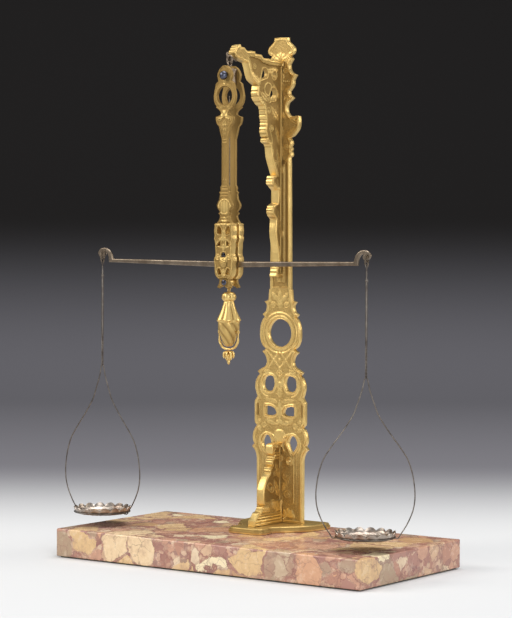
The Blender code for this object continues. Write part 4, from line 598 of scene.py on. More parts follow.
def chased_plate(node, axes, reliefs, step=0.9 * MM, rounding=0.4 * MM, rings=((0.3,), (0.3,)),
                 origin=(0, 0)):
    """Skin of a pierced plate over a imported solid: its own outline, with rounded edges and a relief on each
    side.

    axes are the across, up and depth axes. Each side is a fine net of points in the outline, denser along it,
    whose depth is the solid's own depth plus relief(across, up, distance from the outline, depth under the
    top).
    """
    corners = corners_of(node)[:, :, axes]
    if np.linalg.det(np.eye(3)[list(axes)]) < 0:
        corners = corners[:, ::-1]
    low_faces, high_faces = faces_looking(corners, -1), faces_looking(corners, 1)
    rim, inward, _, parity = sorted_edges(low_faces)
    rim_cut, owner = divided(rim, step)
    rim_points, rim_pairs = indexed(rim_cut)
    parts, offset = [], 0
    rim_on_side = []
    for side, faces, relief, bands in ((-1, low_faces, reliefs[0], rings[0]),
                                       (1, high_faces, reliefs[1], rings[1])):
        steps = sorted_edges(faces)[2]
        step_points, step_pairs = np.zeros((0, 2)), np.zeros((0, 2), int)
        if len(steps):
            step_points, step_pairs = indexed(divided(steps, step)[0])
        middles = rim_cut.mean(1)
        followers = [middles + inward[owner] * (band * MM) for band in bands]
        wide = step if relief else 2.5 * step
        low, high = rim_points.min(0), rim_points.max(0)
        net = np.stack(np.meshgrid(np.arange(low[0], high[0], wide), np.arange(low[1], high[1], wide)),
                       -1).reshape(-1, 2)
        net[:, 0] += 0.37 * wide
        away = distance(net, rim)
        net = net[(away > bands[-1] * MM + 0.45 * step) & inside(net, parity)]
        rows = []
        for band, follower in zip(bands, followers):
            rows.append(follower[distance(follower, rim) > 0.93 * band * MM])
        loose = np.concatenate(rows + [net])
        if len(step_points):
            clear = np.ones(len(loose), bool)
            for k in range(0, len(loose), BATCH):
                gaps = ((loose[k:k + BATCH, None] - step_points[None]) ** 2).sum(2).min(1)
                clear[k:k + BATCH] = gaps > (0.35 * step) ** 2
            loose = loose[clear]
        given = np.concatenate([rim_points, step_points, loose])
        pairs = np.concatenate([rim_pairs, step_pairs + len(rim_points)])
        scaled = (given / MM).tolist()
        found, _, faces_found, origins, _, _ = delaunay_2d_cdt(scaled, pairs.tolist(), [], 0, 1e-4)
        flat = np.array([tuple(point) for point in found]) * MM
        net_faces = np.array([face for face in faces_found if len(face) == 3])
        net_faces = net_faces[inside(flat[net_faces].mean(1), parity)]
        used, net_faces = np.unique(net_faces, return_inverse=True)
        net_faces = net_faces.reshape(-1, 3)
        where = {}
        for new, old in enumerate(used):
            for first in origins[old]:
                where[first] = new
        flat = flat[used]
        on_rim = np.array([where.get(k, -1) for k in range(len(rim_points))])
        gap = distance(flat, rim)
        gap[on_rim[on_rim >= 0]] = 0
        depth = depth_over(flat, faces, side)
        under = depth.max() - depth
        bite = np.clip(1 - gap / rounding, 0, 1)
        drop = rounding * (1 - np.sqrt(np.maximum(0, 1 - bite**2)))
        u, v = (flat[:, 0] - origin[0]) / MM, (flat[:, 1] - origin[1]) / MM
        if relief:
            rise, tooled = relief(u, v, gap / MM, under / MM)
        else:
            rise, tooled = np.zeros(len(flat)), np.zeros(len(flat))
        outer = depth - drop + rise * MM
        # painted shade: this mark grows where the relief sinks below the face and the deeper a point lies
        # under the top face
        hollow = np.clip((-rise + 0.25 * under / MM) / 0.8, 0, 1)
        spot = np.column_stack([flat, outer * side])
        parts.append((spot, net_faces + offset if side > 0 else net_faces[:, ::-1] + offset, hollow, tooled))
        rim_on_side.append(np.where(on_rim >= 0, on_rim + offset, -1))
        offset += len(spot)
    ends = [rim_on_side[0][rim_pairs], rim_on_side[1][rim_pairs]]
    good = (ends[0] >= 0).all(1) & (ends[1] >= 0).all(1)
    run = rim_cut[:, 1] - rim_cut[:, 0]
    turned_way = np.sum(inward[owner] * np.stack([-run[:, 1], run[:, 0]], 1), 1) > 0
    a, b = ends[0][:, 0], ends[0][:, 1]
    c, d = ends[1][:, 1], ends[1][:, 0]
    walls = np.where(turned_way[:, None], np.stack([a, b, c, d], 1), np.stack([b, a, d, c], 1))[good]
    points = np.concatenate([part[0] for part in parts])
    back = np.empty_like(points)
    back[:, list(axes)] = points
    marks = {"hollow": np.concatenate([part[2] for part in parts]),
             "tooled": np.concatenate([part[3] for part in parts])}
    return back, np.concatenate([part[1] for part in parts]), walls, marks


def reeded_front(plate, rolls, depth=0.65 * MM, reach=2.4 * MM):
    """Cuts level grooves across a plate's front edge: each roll (low, high, count) in mm is parted into
    count reeds.

    A groove is deepest at the foremost point of its height and fades out over the reach behind it, and is
    darkened there with painted shade.
    """
    points, marks = plate[0], plate[3]
    height = points[:, 2] / MM
    slot = (height - height.min()).astype(int)
    front = np.full(slot.max() + 1, points[:, 1].max())
    np.minimum.at(front, slot, points[:, 1])
    front = np.interp(height, height.min() + 0.5 + np.arange(len(front)), front)
    fade = np.clip(1 - (points[:, 1] - front) / reach, 0, 1)
    cut = np.zeros(len(points))
    for low, high, count in rolls:
        for line in np.linspace(low, high, count + 1):
            cut = np.maximum(cut, np.exp(-(((height - line) / 0.75) ** 2)))
    points[:, 1] += depth * cut * fade
    # painted shade along each groove, as dark as the groove is deep
    marks["hollow"] = np.maximum(marks["hollow"], cut * fade)


def bump_at(value, centre, half):
    """A smooth round-topped rise of height 1 about a centre."""
    t = np.clip(np.abs(value - centre) / half, 0, 1)
    return np.sqrt(1 - t**2)


def moulding(gap, scale=1.0):
    """Edge moulding by distance from the outline, in mm: a flat lip, a groove, a bead, a groove, then the
    ground."""
    g = gap / scale
    rise = -0.34 * bump_at(g, 0.95, 0.38)
    rise += 0.26 * bump_at(g, 1.95, 0.75)
    ground = np.clip((g - 2.65) / 0.35, 0, 1)
    return rise * (g < 2.8) - 0.42 * ground, ground


def leaf(u, v, root, tip, half_width, lobes=4):
    """A lobed leaf from root to tip: round across, nicked along its edge, with a middle crease and side
    veins."""
    axis = np.subtract(tip, root)
    length = np.linalg.norm(axis)
    along = ((u - root[0]) * axis[0] + (v - root[1]) * axis[1]) / length**2
    aside = np.abs((u - root[0]) * axis[1] - (v - root[1]) * axis[0]) / length
    s = np.clip(along, 0, 1)
    nicks = 1 + 0.22 * np.cos(FULL_TURN * lobes * s)
    edge = half_width * np.sin(math.pi * np.clip(s, 0.02, 0.98) ** 0.75) ** 0.8 * nicks
    t = aside / np.maximum(edge, 1e-3)
    body = np.sqrt(np.clip(1 - t**2, 0, 1)) * ((along > 0) & (along < 1))
    veins = 0.82 + 0.18 * np.cos(FULL_TURN * (lobes * s - 0.8 * t))
    return body * veins * (1 - 0.55 * np.exp(-((aside / (0.12 * half_width + 0.15)) ** 2)))


def scroll(u, v, centre, radius, hand=1):
    """A spiral volute: a round ridge that winds in to a button."""
    du, dv = u - centre[0], v - centre[1]
    out = np.hypot(du, dv) / radius
    turn = np.arctan2(dv, du) * hand / FULL_TURN + 1.35 * np.log(np.maximum(out, 0.05))
    ridge = (0.5 + 0.5 * np.cos(FULL_TURN * turn)) ** 0.8
    button = np.sqrt(np.clip(1 - (out / 0.26) ** 2, 0, 1))
    return np.maximum(ridge * (out < 1) * np.clip((1 - out) / 0.12, 0, 1) * (out > 0.22), button)


def shell(u, v, centre, radius, ribs=9):
    """A fan shell: ribs that spread from its hinge, scalloped at the rim."""
    du, dv = u - centre[0], v - centre[1]
    angle = np.arctan2(du, dv)
    out = np.hypot(du, dv) / radius
    rib = np.abs(np.cos(angle * ribs / 2)) ** 0.7
    reach = 0.88 + 0.12 * rib
    body = np.sqrt(np.clip(1 - (out / reach) ** 4, 0, 1)) * np.clip(out / 0.25, 0.35, 1)
    return body * (0.45 + 0.55 * rib) * (np.abs(angle) < 1.9)


def pearls(u, v, root, tip, radius, count):
    """A straight row of small beads."""
    axis = np.subtract(tip, root)
    share = ((u - root[0]) * axis[0] + (v - root[1]) * axis[1]) / (axis @ axis)
    stop = np.clip(np.round(share * (count - 1)), 0, count - 1) / max(count - 1, 1)
    gap = np.hypot(u - root[0] - stop * axis[0], v - root[1] - stop * axis[1])
    return np.sqrt(np.clip(1 - (gap / radius) ** 2, 0, 1))


def strap(u, v, root, tip, half):
    """A raised strap between two points, round across."""
    axis = np.subtract(tip, root).astype(float)
    share = np.clip(((u - root[0]) * axis[0] + (v - root[1]) * axis[1]) / (axis @ axis), 0, 1)
    gap = np.hypot(u - root[0] - share * axis[0], v - root[1] - share * axis[1])
    return np.sqrt(np.clip(1 - (gap / half) ** 2, 0, 1))


def arc(u, v, centre, radius, half, low=-4.0, high=4.0):
    """A raised strap along part of a circle; low and high are its turns, measured from straight up."""
    du, dv = u - centre[0], v - centre[1]
    turn = np.arctan2(du, dv)
    return bump_at(np.hypot(du, dv), radius, half) * ((turn > low) & (turn < high))


def carved(u, v, motifs):
    """The highest of several motifs; each is (kind, height, then the kind's own values)."""
    rise = np.zeros(len(u))
    kinds = {"leaf": leaf, "scroll": scroll, "shell": shell, "pearls": pearls, "strap": strap, "arc": arc}
    for kind, height, *values in motifs:
        rise = np.maximum(rise, height * kinds[kind](u, v, *values))
    return rise


def relief_of(motifs, scale=1.0, mirrored=True, extra=None, lift=0.0):
    """A relief for a plate: edge moulding, then ornament raised on a punched ground."""
    def relief(u, v, gap, under):
        across = np.abs(u) if mirrored else u
        rise, ground = moulding(gap, scale)
        art = carved(across, v, motifs)
        if extra:
            art = art + extra(across, v)
        inner = np.clip((gap - 2.2 * scale) / (1.1 * scale), 0, 1)
        rise = rise + art * inner + lift
        return rise, np.clip(ground - art * 1.2, 0, 1) * 0.8 + 0.2
    return relief


PILLAR_MOTIFS = [
    ("shell", 1.1, (13, 49), 11, 9), ("leaf", 0.5, (0, 60), (0, 84), 5, 4), ("scroll", 0.5, (12, 76), 6, 1),
    ("leaf", 0.5, (3, 80), (17, 100), 4, 5), ("scroll", 0.5, (9, 98), 5, -1),
    ("leaf", 0.5, (0, 96), (0, 122), 4, 4),
    ("scroll", 0.5, (16, 116), 5, 1), ("strap", 0.5, (21, 66), (21, 122), 0.8),
    ("strap", 0.4, (24.5, 62), (24.5, 128), 0.5),
    ("arc", 0.8, (17.5, 137), 13.2, 1.1, -2.2, 2.4), ("leaf", 0.6, (27, 152), (34, 160), 3, 3),
    ("scroll", 0.5, (23, 160), 4, -1), ("leaf", 0.6, (5, 161), (22, 166), 3, 3),
    ("shell", 0.7, (0, 162), 6, 7),
    ("leaf", 0.8, (0, 168), (0, 192), 3.5, 4), ("leaf", 0.6, (3, 188), (24, 192), 3, 4),
    ("scroll", 0.5, (30, 164), 3, 1),
    ("leaf", 0.6, (28, 192), (36, 196), 3, 3), ("scroll", 0.6, (17, 167), 3, 1),
    ("leaf", 0.8, (0, 194), (0, 206), 4, 3), ("shell", 0.8, (0, 208), 5.5, 7),
    ("arc", 0.7, (15.5, 208), 13.6, 1.2, -1.9, 3.0),
    ("strap", 0.9, (0, 228), (4.6, 223.5), 1.0), ("strap", 0.9, (4.6, 223.5), (0, 219), 1.0),
    ("pearls", 1.0, (0, 223.4), (0, 223.6), 1.5, 2),
    ("strap", 0.8, (0, 229.5), (18, 250), 1.2), ("strap", 0.8, (0, 250), (17, 229.5), 1.2),
    ("pearls", 1.1, (0, 239.7), (0, 239.9), 1.7, 2),
    ("leaf", 0.8, (14, 226), (24, 224), 3, 3), ("leaf", 0.7, (17, 241), (23, 245), 2.5, 3),
    ("leaf", 0.7, (0, 302), (0, 325), 5, 5), ("scroll", 0.6, (10, 306), 4.5, 1),
    ("leaf", 0.7, (4, 312), (13, 322), 3, 3),
    ("pearls", 0.8, (3, 328), (13, 328), 1.0, 5), ("scroll", 0.6, (15, 313), 3, -1),
    ("strap", 0.6, (6, 478), (16, 492), 0.9), ("leaf", 0.8, (0, 484), (0, 506), 4, 5),
    ("scroll", 0.7, (9, 498), 4, -1),
    ("arc", 0.8, (27, 545), 17, 0.9, -3.2, 0), ("arc", 0.6, (27, 545), 19.6, 0.7, -3.2, 0),
    ("leaf", 0.8, (9, 510), (24, 522), 4, 4),
    ("leaf", 0.8, (0, 508), (0, 526), 4, 4), ("shell", 0.9, (0, 534), 7, 9), ("scroll", 0.7, (8, 556), 4, 1),
    ("leaf", 0.8, (6, 564), (15, 572), 3, 3), ("pearls", 0.8, (4, 577), (12, 577), 1.0, 4),
    ("leaf", 0.8, (0, 562), (0, 584), 4, 4),
    ("scroll", 0.6, (7, 590), 4, -1), ("shell", 0.9, (0, 603), 9, 9),
    ("leaf", 0.7, (6, 600), (13, 611), 3, 3),
]


def pillar_extra(u, v):
    """A flat boss between the teardrops, ridges round the large hole, reeds down the shaft and sunk side
    panels."""
    boss = 1.3 * np.clip(1 - (np.hypot(u, v - 146) / 9.5) ** 6, 0, 1) ** 0.5
    out = np.hypot(u, v - 272.5)
    rims = np.maximum(0.75 * bump_at(out, 20.6, 1.0), 0.95 * bump_at(out, 24.6, 1.2))
    reeds = 0.55 * (np.abs(np.cos(u * math.pi / 3.1)) ** 0.5 - 0.75) * ((v > 334) & (v < 474) & (u < 10.5))
    side = np.clip(1.4 - np.abs(u - 33.2) / 1.5, 0, 1) * np.clip(4.0 - np.abs(v - 178) / 2.1, 0, 1)
    return np.maximum(boss, rims) + reeds - 1.6 * side


pillar = chased_plate("pillar_plate", (0, 2, 1), (relief_of(PILLAR_MOTIFS, 1.15, extra=pillar_extra), None),
                      rings=((0.16, 0.45, 0.8, 1.15, 1.6, 2.1, 2.6, 3.1), (0.16, 0.45)), origin=(STAND_X, 0))
finished("chased_pillar", pillar, GILT, "stand", ("pillar_plate",))


GUSSET_MOTIFS = [
    ("leaf", 1.0, (4, 58), (22, 72), 6, 4), ("leaf", 0.9, (24, 60), (44, 60), 4, 4),
    ("scroll", 0.9, (16, 66), 6, 1),
    ("leaf", 1.0, (4, 74), (14, 96), 5, 4), ("scroll", 0.9, (18, 84), 5, -1),
    ("leaf", 1.0, (3, 96), (11, 116), 4, 4),
    ("scroll", 0.8, (12, 102), 4, 1), ("arc", 0.9, (17, 136), 6.5, 1.2), ("shell", 1.0, (17, 135), 4.5, 5),
]
BRACKET_MOTIFS = [
    ("leaf", 1.0, (66, 584), (92, 600), 5, 5), ("scroll", 1.0, (88, 598), 6, 1),
    ("leaf", 0.9, (44, 572), (68, 584), 5, 5),
    ("leaf", 1.0, (8, 590), (42, 586), 4, 6), ("scroll", 0.9, (40, 580), 5, 1),
    ("scroll", 0.9, (57, 592), 4, -1),
    ("arc", 0.9, (29, 566), 7.5, 1.1), ("leaf", 0.9, (30, 552), (46, 562), 5, 4),
    ("scroll", 1.0, (46, 552), 6, -1),
    ("leaf", 0.9, (6, 556), (20, 574), 4, 5), ("leaf", 1.0, (8, 530), (24, 546), 5, 5),
    ("scroll", 0.9, (28, 540), 5, 1),
    ("leaf", 0.9, (5, 500), (14, 524), 4, 5), ("scroll", 0.9, (22, 520), 5, -1),
    ("arc", 0.7, (52, 500), 32, 0.9, -2.2, -0.9),
    ("leaf", 0.9, (4, 470), (11, 498), 3.5, 6), ("scroll", 0.8, (13, 478), 4, 1),
    ("leaf", 0.8, (4, 430), (9, 462), 3, 6),
    ("scroll", 0.7, (9, 446), 3.5, -1), ("leaf", 0.8, (3, 390), (8, 424), 2.8, 6),
    ("leaf", 0.7, (3, 346), (7, 384), 2.6, 6),
]


def gusset_extra(u, v):
    """Stepped mouldings along the gusset's foot and collars under its roll."""
    steps = np.zeros(len(u))
    for height, half in ((44.4, 1.3), (47.6, 1.6), (51.6, 1.2), (54.6, 0.8), (121.0, 1.2), (124.2, 1.5),
                         (127.6, 1.0)):
        steps = np.maximum(steps, 1.0 * bump_at(v, height, half))
    return steps


def foot_relief(u, v, gap, under):
    """The foot's top: a low outer tier, a quarter round up to a bead, then a flat field with four leaves."""
    tier = np.clip((gap - 1.3) / 1.1, 0, 1)
    rise = -2.7 * (1 - np.sqrt(np.clip(1 - (1 - tier) ** 2, 0, 1)))
    rise = rise + 0.35 * bump_at(gap, 3.1, 0.7) - 0.25 * (gap > 3.8)
    art = carved(np.abs(u), v, [("leaf", 0.4, (20, 70), (44, 76), 6, 4), ("scroll", 0.4, (36, 60), 6, 1),
                                ("leaf", 0.4, (26, 40), (30, 58), 4, 3)])
    return rise + art * (gap > 4.2), np.clip(gap - 3.8, 0, 1) * 0.5 * (1 - art)


CHEEK_MOTIFS = [
    ("shell", 1.4, (0, 529), 9, 6), ("leaf", 1.1, (0, 526), (0, 505), 4.5, 4),
    ("scroll", 1.1, (7.6, 528), 4.4, 1),
    ("leaf", 0.9, (2.5, 520), (8.5, 512), 2.6, 3), ("leaf", 0.9, (3, 536), (8, 542), 2.5, 2),
    ("leaf", 1.0, (0, 567), (0, 575), 3, 2),
    ("leaf", 1.1, (0, 413), (0, 400), 4.5, 3), ("leaf", 1.0, (0, 384), (0, 400), 3.2, 3),
    ("scroll", 1.0, (4.2, 386), 3, 1),
    ("leaf", 1.0, (3, 376), (11, 384), 2.4, 3), ("leaf", 1.0, (0, 381), (0, 372), 3, 2),
    ("shell", 1.2, (0, 361), 6, 6),
    ("scroll", 1.0, (8, 366), 4, -1), ("leaf", 1.0, (0, 352), (0, 341), 3.4, 3),
    ("leaf", 1.0, (6, 341), (10, 332), 3, 2),
    ("arc", 1.0, (0, 424.5), 8.6, 0.9), ("pearls", 1.0, (-5, 456), (5, 456), 1.1, 4),
    ("strap", 0.8, (5.2, 452), (5.2, 498), 0.6),
]
CHEEK_RIBS = ((502.5, 1.3), (499.0, 1.0), (448.0, 1.3), (444.2, 1.7), (440.0, 1.3), (436.8, 0.9),
              (411.5, 1.1), (407.5, 1.3), (403.6, 1.0))


def cheek_extra(u, v):
    """Reeds down the shaft, ribs across its collars, a lobed bulb under them and a bead round the window."""
    reeds = 0.45 * (np.abs(np.cos(u * math.pi / 1.9)) ** 0.6 - 0.6) * ((v > 450) & (v < 498) & (u < 5.5))
    ribs = np.zeros(len(u))
    for height, half in CHEEK_RIBS:
        ribs = np.maximum(ribs, 0.75 * bump_at(v, height, half))
    bulb = np.sqrt(np.clip(1 - (u / 9.0) ** 2 - ((v - 424.5) / 10.5) ** 2, 0, 1))
    bulb = 1.5 * bulb * (0.86 + 0.14 * np.cos(u * FULL_TURN / 4.2))
    out = np.hypot(u, v - 554.1)
    bead = 0.7 * bump_at(out, 13.2, 1.3) * (0.75 + 0.25 * np.cos(np.arctan2(v - 554.1, u) * 36))
    return reeds + np.maximum(np.maximum(ribs, bulb), bead)


FINE_RINGS = (0.14, 0.4, 0.7, 1.0, 1.4, 1.85, 2.3, 2.7)
CHEEK_RINGS = (0.12, 0.32, 0.55, 0.8, 1.1, 1.45, 1.8)
PILLAR_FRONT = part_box("pillar_plate")[0][1]
cheek_art = relief_of(CHEEK_MOTIFS, 0.62, extra=cheek_extra)
BRACKET_ROLLS = ((550, 569, 3), (529, 541, 2), (508, 526, 4), (497, 505, 2), (450.5, 463, 3), (412.5, 428, 4),
                 (341, 351.5, 2), (600, 612, 4))
GUSSET_ROLLS = ((58.4, 66, 2), (105.5, 119, 4), (124, 139.3, 1))

bracket = chased_plate("upper_bracket", (1, 2, 0),
                       (relief_of(BRACKET_MOTIFS, 0.95), relief_of(BRACKET_MOTIFS, 0.95)),
                       rings=(FINE_RINGS, FINE_RINGS), origin=(PILLAR_FRONT, 0))
reeded_front(bracket, BRACKET_ROLLS)
finished("chased_bracket", bracket, GILT, "stand", ("upper_bracket",))
gusset = chased_plate("lower_gusset", (1, 2, 0), (relief_of(GUSSET_MOTIFS, 0.95, extra=gusset_extra),) * 2,
                      rings=(FINE_RINGS, FINE_RINGS), origin=(PILLAR_FRONT, 0))
reeded_front(gusset, GUSSET_ROLLS)
finished("chased_gusset", gusset, GILT, "stand", ("lower_gusset",))
foot = chased_plate("foot_plate", (0, 1, 2), (None, foot_relief), rounding=0.8 * MM,
                    rings=((0.3,), (0.2, 0.5, 0.9, 1.2, 1.45, 1.7, 2.0, 2.4, 2.9, 3.4)), origin=(STAND_X, 0))
finished("chased_foot", foot, GILT, "stand", ("foot_plate",))
front_cheek = chased_plate("shears_front_cheek", (0, 2, 1), (cheek_art, None), step=0.7 * MM,
                           rounding=0.3 * MM,
                           rings=(CHEEK_RINGS, (0.3,)), origin=(STAND_X, 0))
finished("chased_front_cheek", front_cheek, GILT, "shears", ("shears_front_cheek",))
rear_cheek = chased_plate("shears_rear_cheek", (0, 2, 1), (None, cheek_art), step=0.7 * MM, rounding=0.3 * MM,
                          rings=((0.3,), CHEEK_RINGS), origin=(STAND_X, 0))
finished("chased_rear_cheek", rear_cheek, GILT, "shears", ("shears_rear_cheek",))
beam = chased_plate("beam_bar", (0, 2, 1), (None, None), step=1.0 * MM, rounding=1.2 * MM,
                    rings=((0.2, 0.5, 0.85, 1.2), (0.2, 0.5, 0.85, 1.2)))
finished("forged_beam", beam, STEEL, "beam", ("beam_bar",), sharp=50)


# slab and felt

def slab_skin(low, high, corner=1.6 * MM, edge=1.3 * MM):
    """The slab: a rounded rectangle in plan carried up a profile with eased edges, slightly uneven as cut
    stone."""
    turn = np.linspace(0, math.pi / 2, 6)
    half = (np.array(high) - np.array(low)) / 2
    middle = (np.array(high) + np.array(low)) / 2
    corners = []
    for quarter in range(4):
        angle = turn + quarter * math.pi / 2
        sign = np.array([(1, 1), (-1, 1), (-1, -1), (1, -1)][quarter])
        corners.append(sign * (half[:2] - corner) + corner * np.stack([np.cos(angle), np.sin(angle)], 1))
    plan = np.concatenate(corners)
    plan = np.concatenate([plan, plan[:1]])
    dense = []
    for start, end in zip(plan[:-1], plan[1:]):
        count = max(1, int(np.linalg.norm(end - start) / (4 * MM)))
        dense.append(start + np.linspace(0, 1, count, endpoint=False)[:, None] * (end - start))
    plan = np.concatenate(dense)
    bend = np.linspace(0, math.pi / 2, 5)
    profile = [(-edge * (1 - math.sin(b)), edge * (1 - math.cos(b))) for b in bend]
    inset = np.array([p[0] for p in profile] + [0.0] * 7 + [p[0] for p in profile[::-1]])
    height = np.array([p[1] for p in profile] + list(np.linspace(2 * edge, 2 * half[2] - 2 * edge, 7))
                      + [2 * half[2] - p[1] for p in profile[::-1]])
    count = len(plan)
    out = plan / np.linalg.norm(plan, axis=1, keepdims=True)
    square = np.where(np.abs(plan) > half[:2] - 0.1 * MM, np.sign(plan), 0)
    square = np.where(np.abs(square).sum(1, keepdims=True) > 0, square, out)
    k = np.arange(count)
    wander = 0.22 * MM * (np.sin(k * 0.61) * np.sin(k * 0.173 + 1.3) - 1.0)
    rings = []
    for tuck, up in zip(inset, height):
        near_edge = 1.0 if tuck < 0 else 0.25
        flat = plan + square * (tuck + wander[:, None] * near_edge * 0.6)
        rings.append(np.column_stack([flat + middle[:2], np.full(count, low[2] + up)]))

    def drawn_in(row, shares):
        """An end row drawn in towards the slab's middle by each share."""
        return [np.column_stack([row[:, :2] * (1 - share) + middle[:2] * share, row[:, 2]])
                for share in shares]

    return tube(np.array(drawn_in(rings[0], (0.9, 0.6, 0.3)) + rings + drawn_in(rings[-1], (0.3, 0.6, 0.9))))


finished("polished_slab", slab_skin(*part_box("marble_slab")), BRECCIA, "stand", ("marble_slab",),
         sharp=50)


# wires and turned pieces

HOOK_Z = 0.5980
hook_route = eased([(0, 0.0130, -0.0016), (0, 0.0091, -0.00035), (0, 0.0052, 0.0004), (0, 0, 0),
                    (0, -0.0030, 0.0010),
                    (0, -0.0050, 0.003465), (0, -0.0043, 0.0063)], 10)
finished("forged_hook", wire(hook_route + np.array([STAND_X, BALANCE_Y, HOOK_Z]), 1.2 * MM, (1, 0, 0)), STEEL,
         "stand", ("bracket_hook",))
finished("forged_link", ring((STAND_X, BALANCE_Y, 0.5965), 3.5 * MM, 1.5 * MM, "XZ", 4.5 / 3.5, 16), STEEL,
         "link", ("suspension_link",))

BOW_SHARES = np.array([
    (0.030, 1.000), (0.080, 0.930), (0.180, 0.837), (0.245, 0.781), (0.350, 0.725), (0.470, 0.668),
    (0.600, 0.612), (0.730, 0.555), (0.840, 0.500), (0.910, 0.443), (0.957, 0.387), (0.985, 0.331),
    (1.000, 0.275), (0.992, 0.218), (0.955, 0.162), (0.882, 0.105), (0.800, 0.057), (0.725, 0.022),
    (0.668, -0.006),
])
SPLIT_Z = 0.2292
RING_Z = 0.0512
TWIST_TOP_Z = 0.2700
BOW_HALF = 0.056
PAN_RADIUS = 35.2
PAN_DEPTH = 9.1


def hanger_skin(x, turn):
    """A hanger: an eye, a beaded stem, two twisted strands, then two wires that open and hook round the
    pan's ring."""
    centre = np.array([x, BALANCE_Y, 0.0])
    box_low, box_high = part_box("left_bow" if x < 0 else "right_bow")
    eye_z = box_high[2] - 2.7 * MM
    top = eye_z - 2.0 * MM
    bead = top - 15.0 * MM
    stem = eased([(top, 0.75), (top - 2 * MM, 0.95), (bead + 3 * MM, 1.0), (bead + 1.4 * MM, 1.25),
                  (bead, 2.1),
                  (bead - 1.4 * MM, 1.45), (bead - 4 * MM, 1.35), (TWIST_TOP_Z + 6 * MM, 1.35),
                  (TWIST_TOP_Z, 1.15)], 6)
    path = np.column_stack([np.full(len(stem), x), np.full(len(stem), BALANCE_Y), stem[:, 0]])
    skins = [ring((x, BALANCE_Y, eye_z), 2.0 * MM, 0.7 * MM, "YZ"),
             wire(path, stem[:, 1] * MM, (0, 1, 0), 16)]
    sideways = np.array([math.cos(turn), math.sin(turn), 0.0])
    aside = np.array([-math.sin(turn), math.cos(turn), 0.0])
    for hand in (-1, 1):
        height = np.linspace(TWIST_TOP_Z + 3 * MM, SPLIT_Z + 2 * MM, 70)
        angle = (TWIST_TOP_Z - height) / (7.5 * MM) * FULL_TURN + (0 if hand > 0 else math.pi)
        strand = centre + 0.72 * MM * (np.cos(angle)[:, None] * sideways + np.sin(angle)[:, None] * aside)
        strand[:, 2] = height
        knots = [strand[-1]]
        for out, up in BOW_SHARES:
            knots.append(centre + hand * BOW_HALF * out * sideways
                         + np.array([0, 0, RING_Z + up * (SPLIT_Z - RING_Z)]))
        for out, up in ((34.7, -1.32), (33.7, -1.50), (32.95, -1.05)):
            knots.append(centre + hand * out * MM * sideways + np.array([0, 0, RING_Z + up * MM]))
        line = np.concatenate([strand[:-1], eased(knots, 6)])
        skins.append(wire(line, 0.7 * MM, aside + 0.01 * sideways, 10))
    return joined(*skins)


def pan_skin(x):
    """A pan: a shallow dish with sixteen scallops pressed in its flared rim, of even wall, faintly
    hammered."""
    outer = eased([(0.0005, 0.0), (0.35, 0.0), (0.68, 0.004), (0.80, 0.04), (0.86, 0.09), (0.915, 0.26),
                   (0.950, 0.42),
                   (0.972, 0.61), (0.985, 0.80), (1.000, 1.0)], 5)
    radius, height = outer[:, 0] * PAN_RADIUS * MM, outer[:, 1] * PAN_DEPTH * MM
    slope = np.gradient(np.column_stack([radius, height]), axis=0)
    slope = slope / np.linalg.norm(slope, axis=1, keepdims=True)
    wall = 0.8 * MM
    inner = np.column_stack([np.maximum(radius - slope[:, 1] * wall, 1e-5),
                             height + slope[:, 0] * wall])[::-1]
    profile = np.concatenate([np.column_stack([radius, height]), inner])
    turn = np.linspace(0, FULL_TURN, 192, endpoint=False)[None]
    out, up = profile[:, :1], profile[:, 1:2]
    rise = np.clip((up - 2.2 * MM) / (6.9 * MM), 0, 1)
    lobe = np.abs(np.cos(8 * turn)) ** 0.75
    r = out * (1 - 0.050 * rise * (1 - lobe))
    z = up - 3.6 * MM * rise**1.3 * (1 - lobe)
    dent = np.sin(9 * turn + out * 900) * np.sin(out * 1300) + 0.6 * np.sin(23 * turn - out * 2100)
    z = z + 0.16 * MM * dent * (1 - 0.7 * rise) * (out > 2 * MM)
    rings = np.stack([x + r * np.cos(turn), BALANCE_Y + r * np.sin(turn), RING_Z - 2.6 * MM + z], -1)
    return tube(rings)


for side_name, x, turn in (("left", LEFT_X, math.radians(4.0)), ("right", RIGHT_X, math.radians(36.0))):
    finished(side_name + "_hanger_wires", hanger_skin(x, turn), WIRE, side_name + "_hanger",
             (side_name + "_bow",))
    finished(side_name + "_ring_wire", ring((x, BALANCE_Y, RING_Z), 34.0 * MM, 0.8 * MM, "XY", 1.0, 12), WIRE,
             side_name + "_hanger", (side_name + "_pan_ring",))
    finished(side_name + "_scalloped_pan", pan_skin(x), SILVER, side_name + "_dish",
             (side_name + "_pan",), sharp=60)


def bolt_skin(z, shank, head, rise, front, back):
    """A bolt: a domed head in front of the cheeks, then a plain shank to the nut."""
    dome = eased([(0.0, 1.0), (0.45, 0.93), (0.80, 0.68), (0.98, 0.36), (0.97, 0.10), (0.86, 0.0)], 6)
    rows = [(head * r, front - rise * up) for r, up in dome] + [(shank, front), (shank, back - 0.4 * MM),
                                                                (0.6 * shank, back)]
    return turned(rows, (STAND_X, BALANCE_Y, z), 1, 40)


for name, z, shank, head, rise in (("top", 0.5779, 1.8, 5.3, 6.0), ("low", 0.3357, 1.4, 3.5, 1.8)):
    low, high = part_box(name + "_bolt")
    start = low[1] - BALANCE_Y + rise * MM
    finished(name + "_domed_bolt", bolt_skin(z, shank * MM, head * MM, rise * MM, start, high[1] - BALANCE_Y),
             BLUED,
             "shears", (name + "_bolt",), sharp=45)


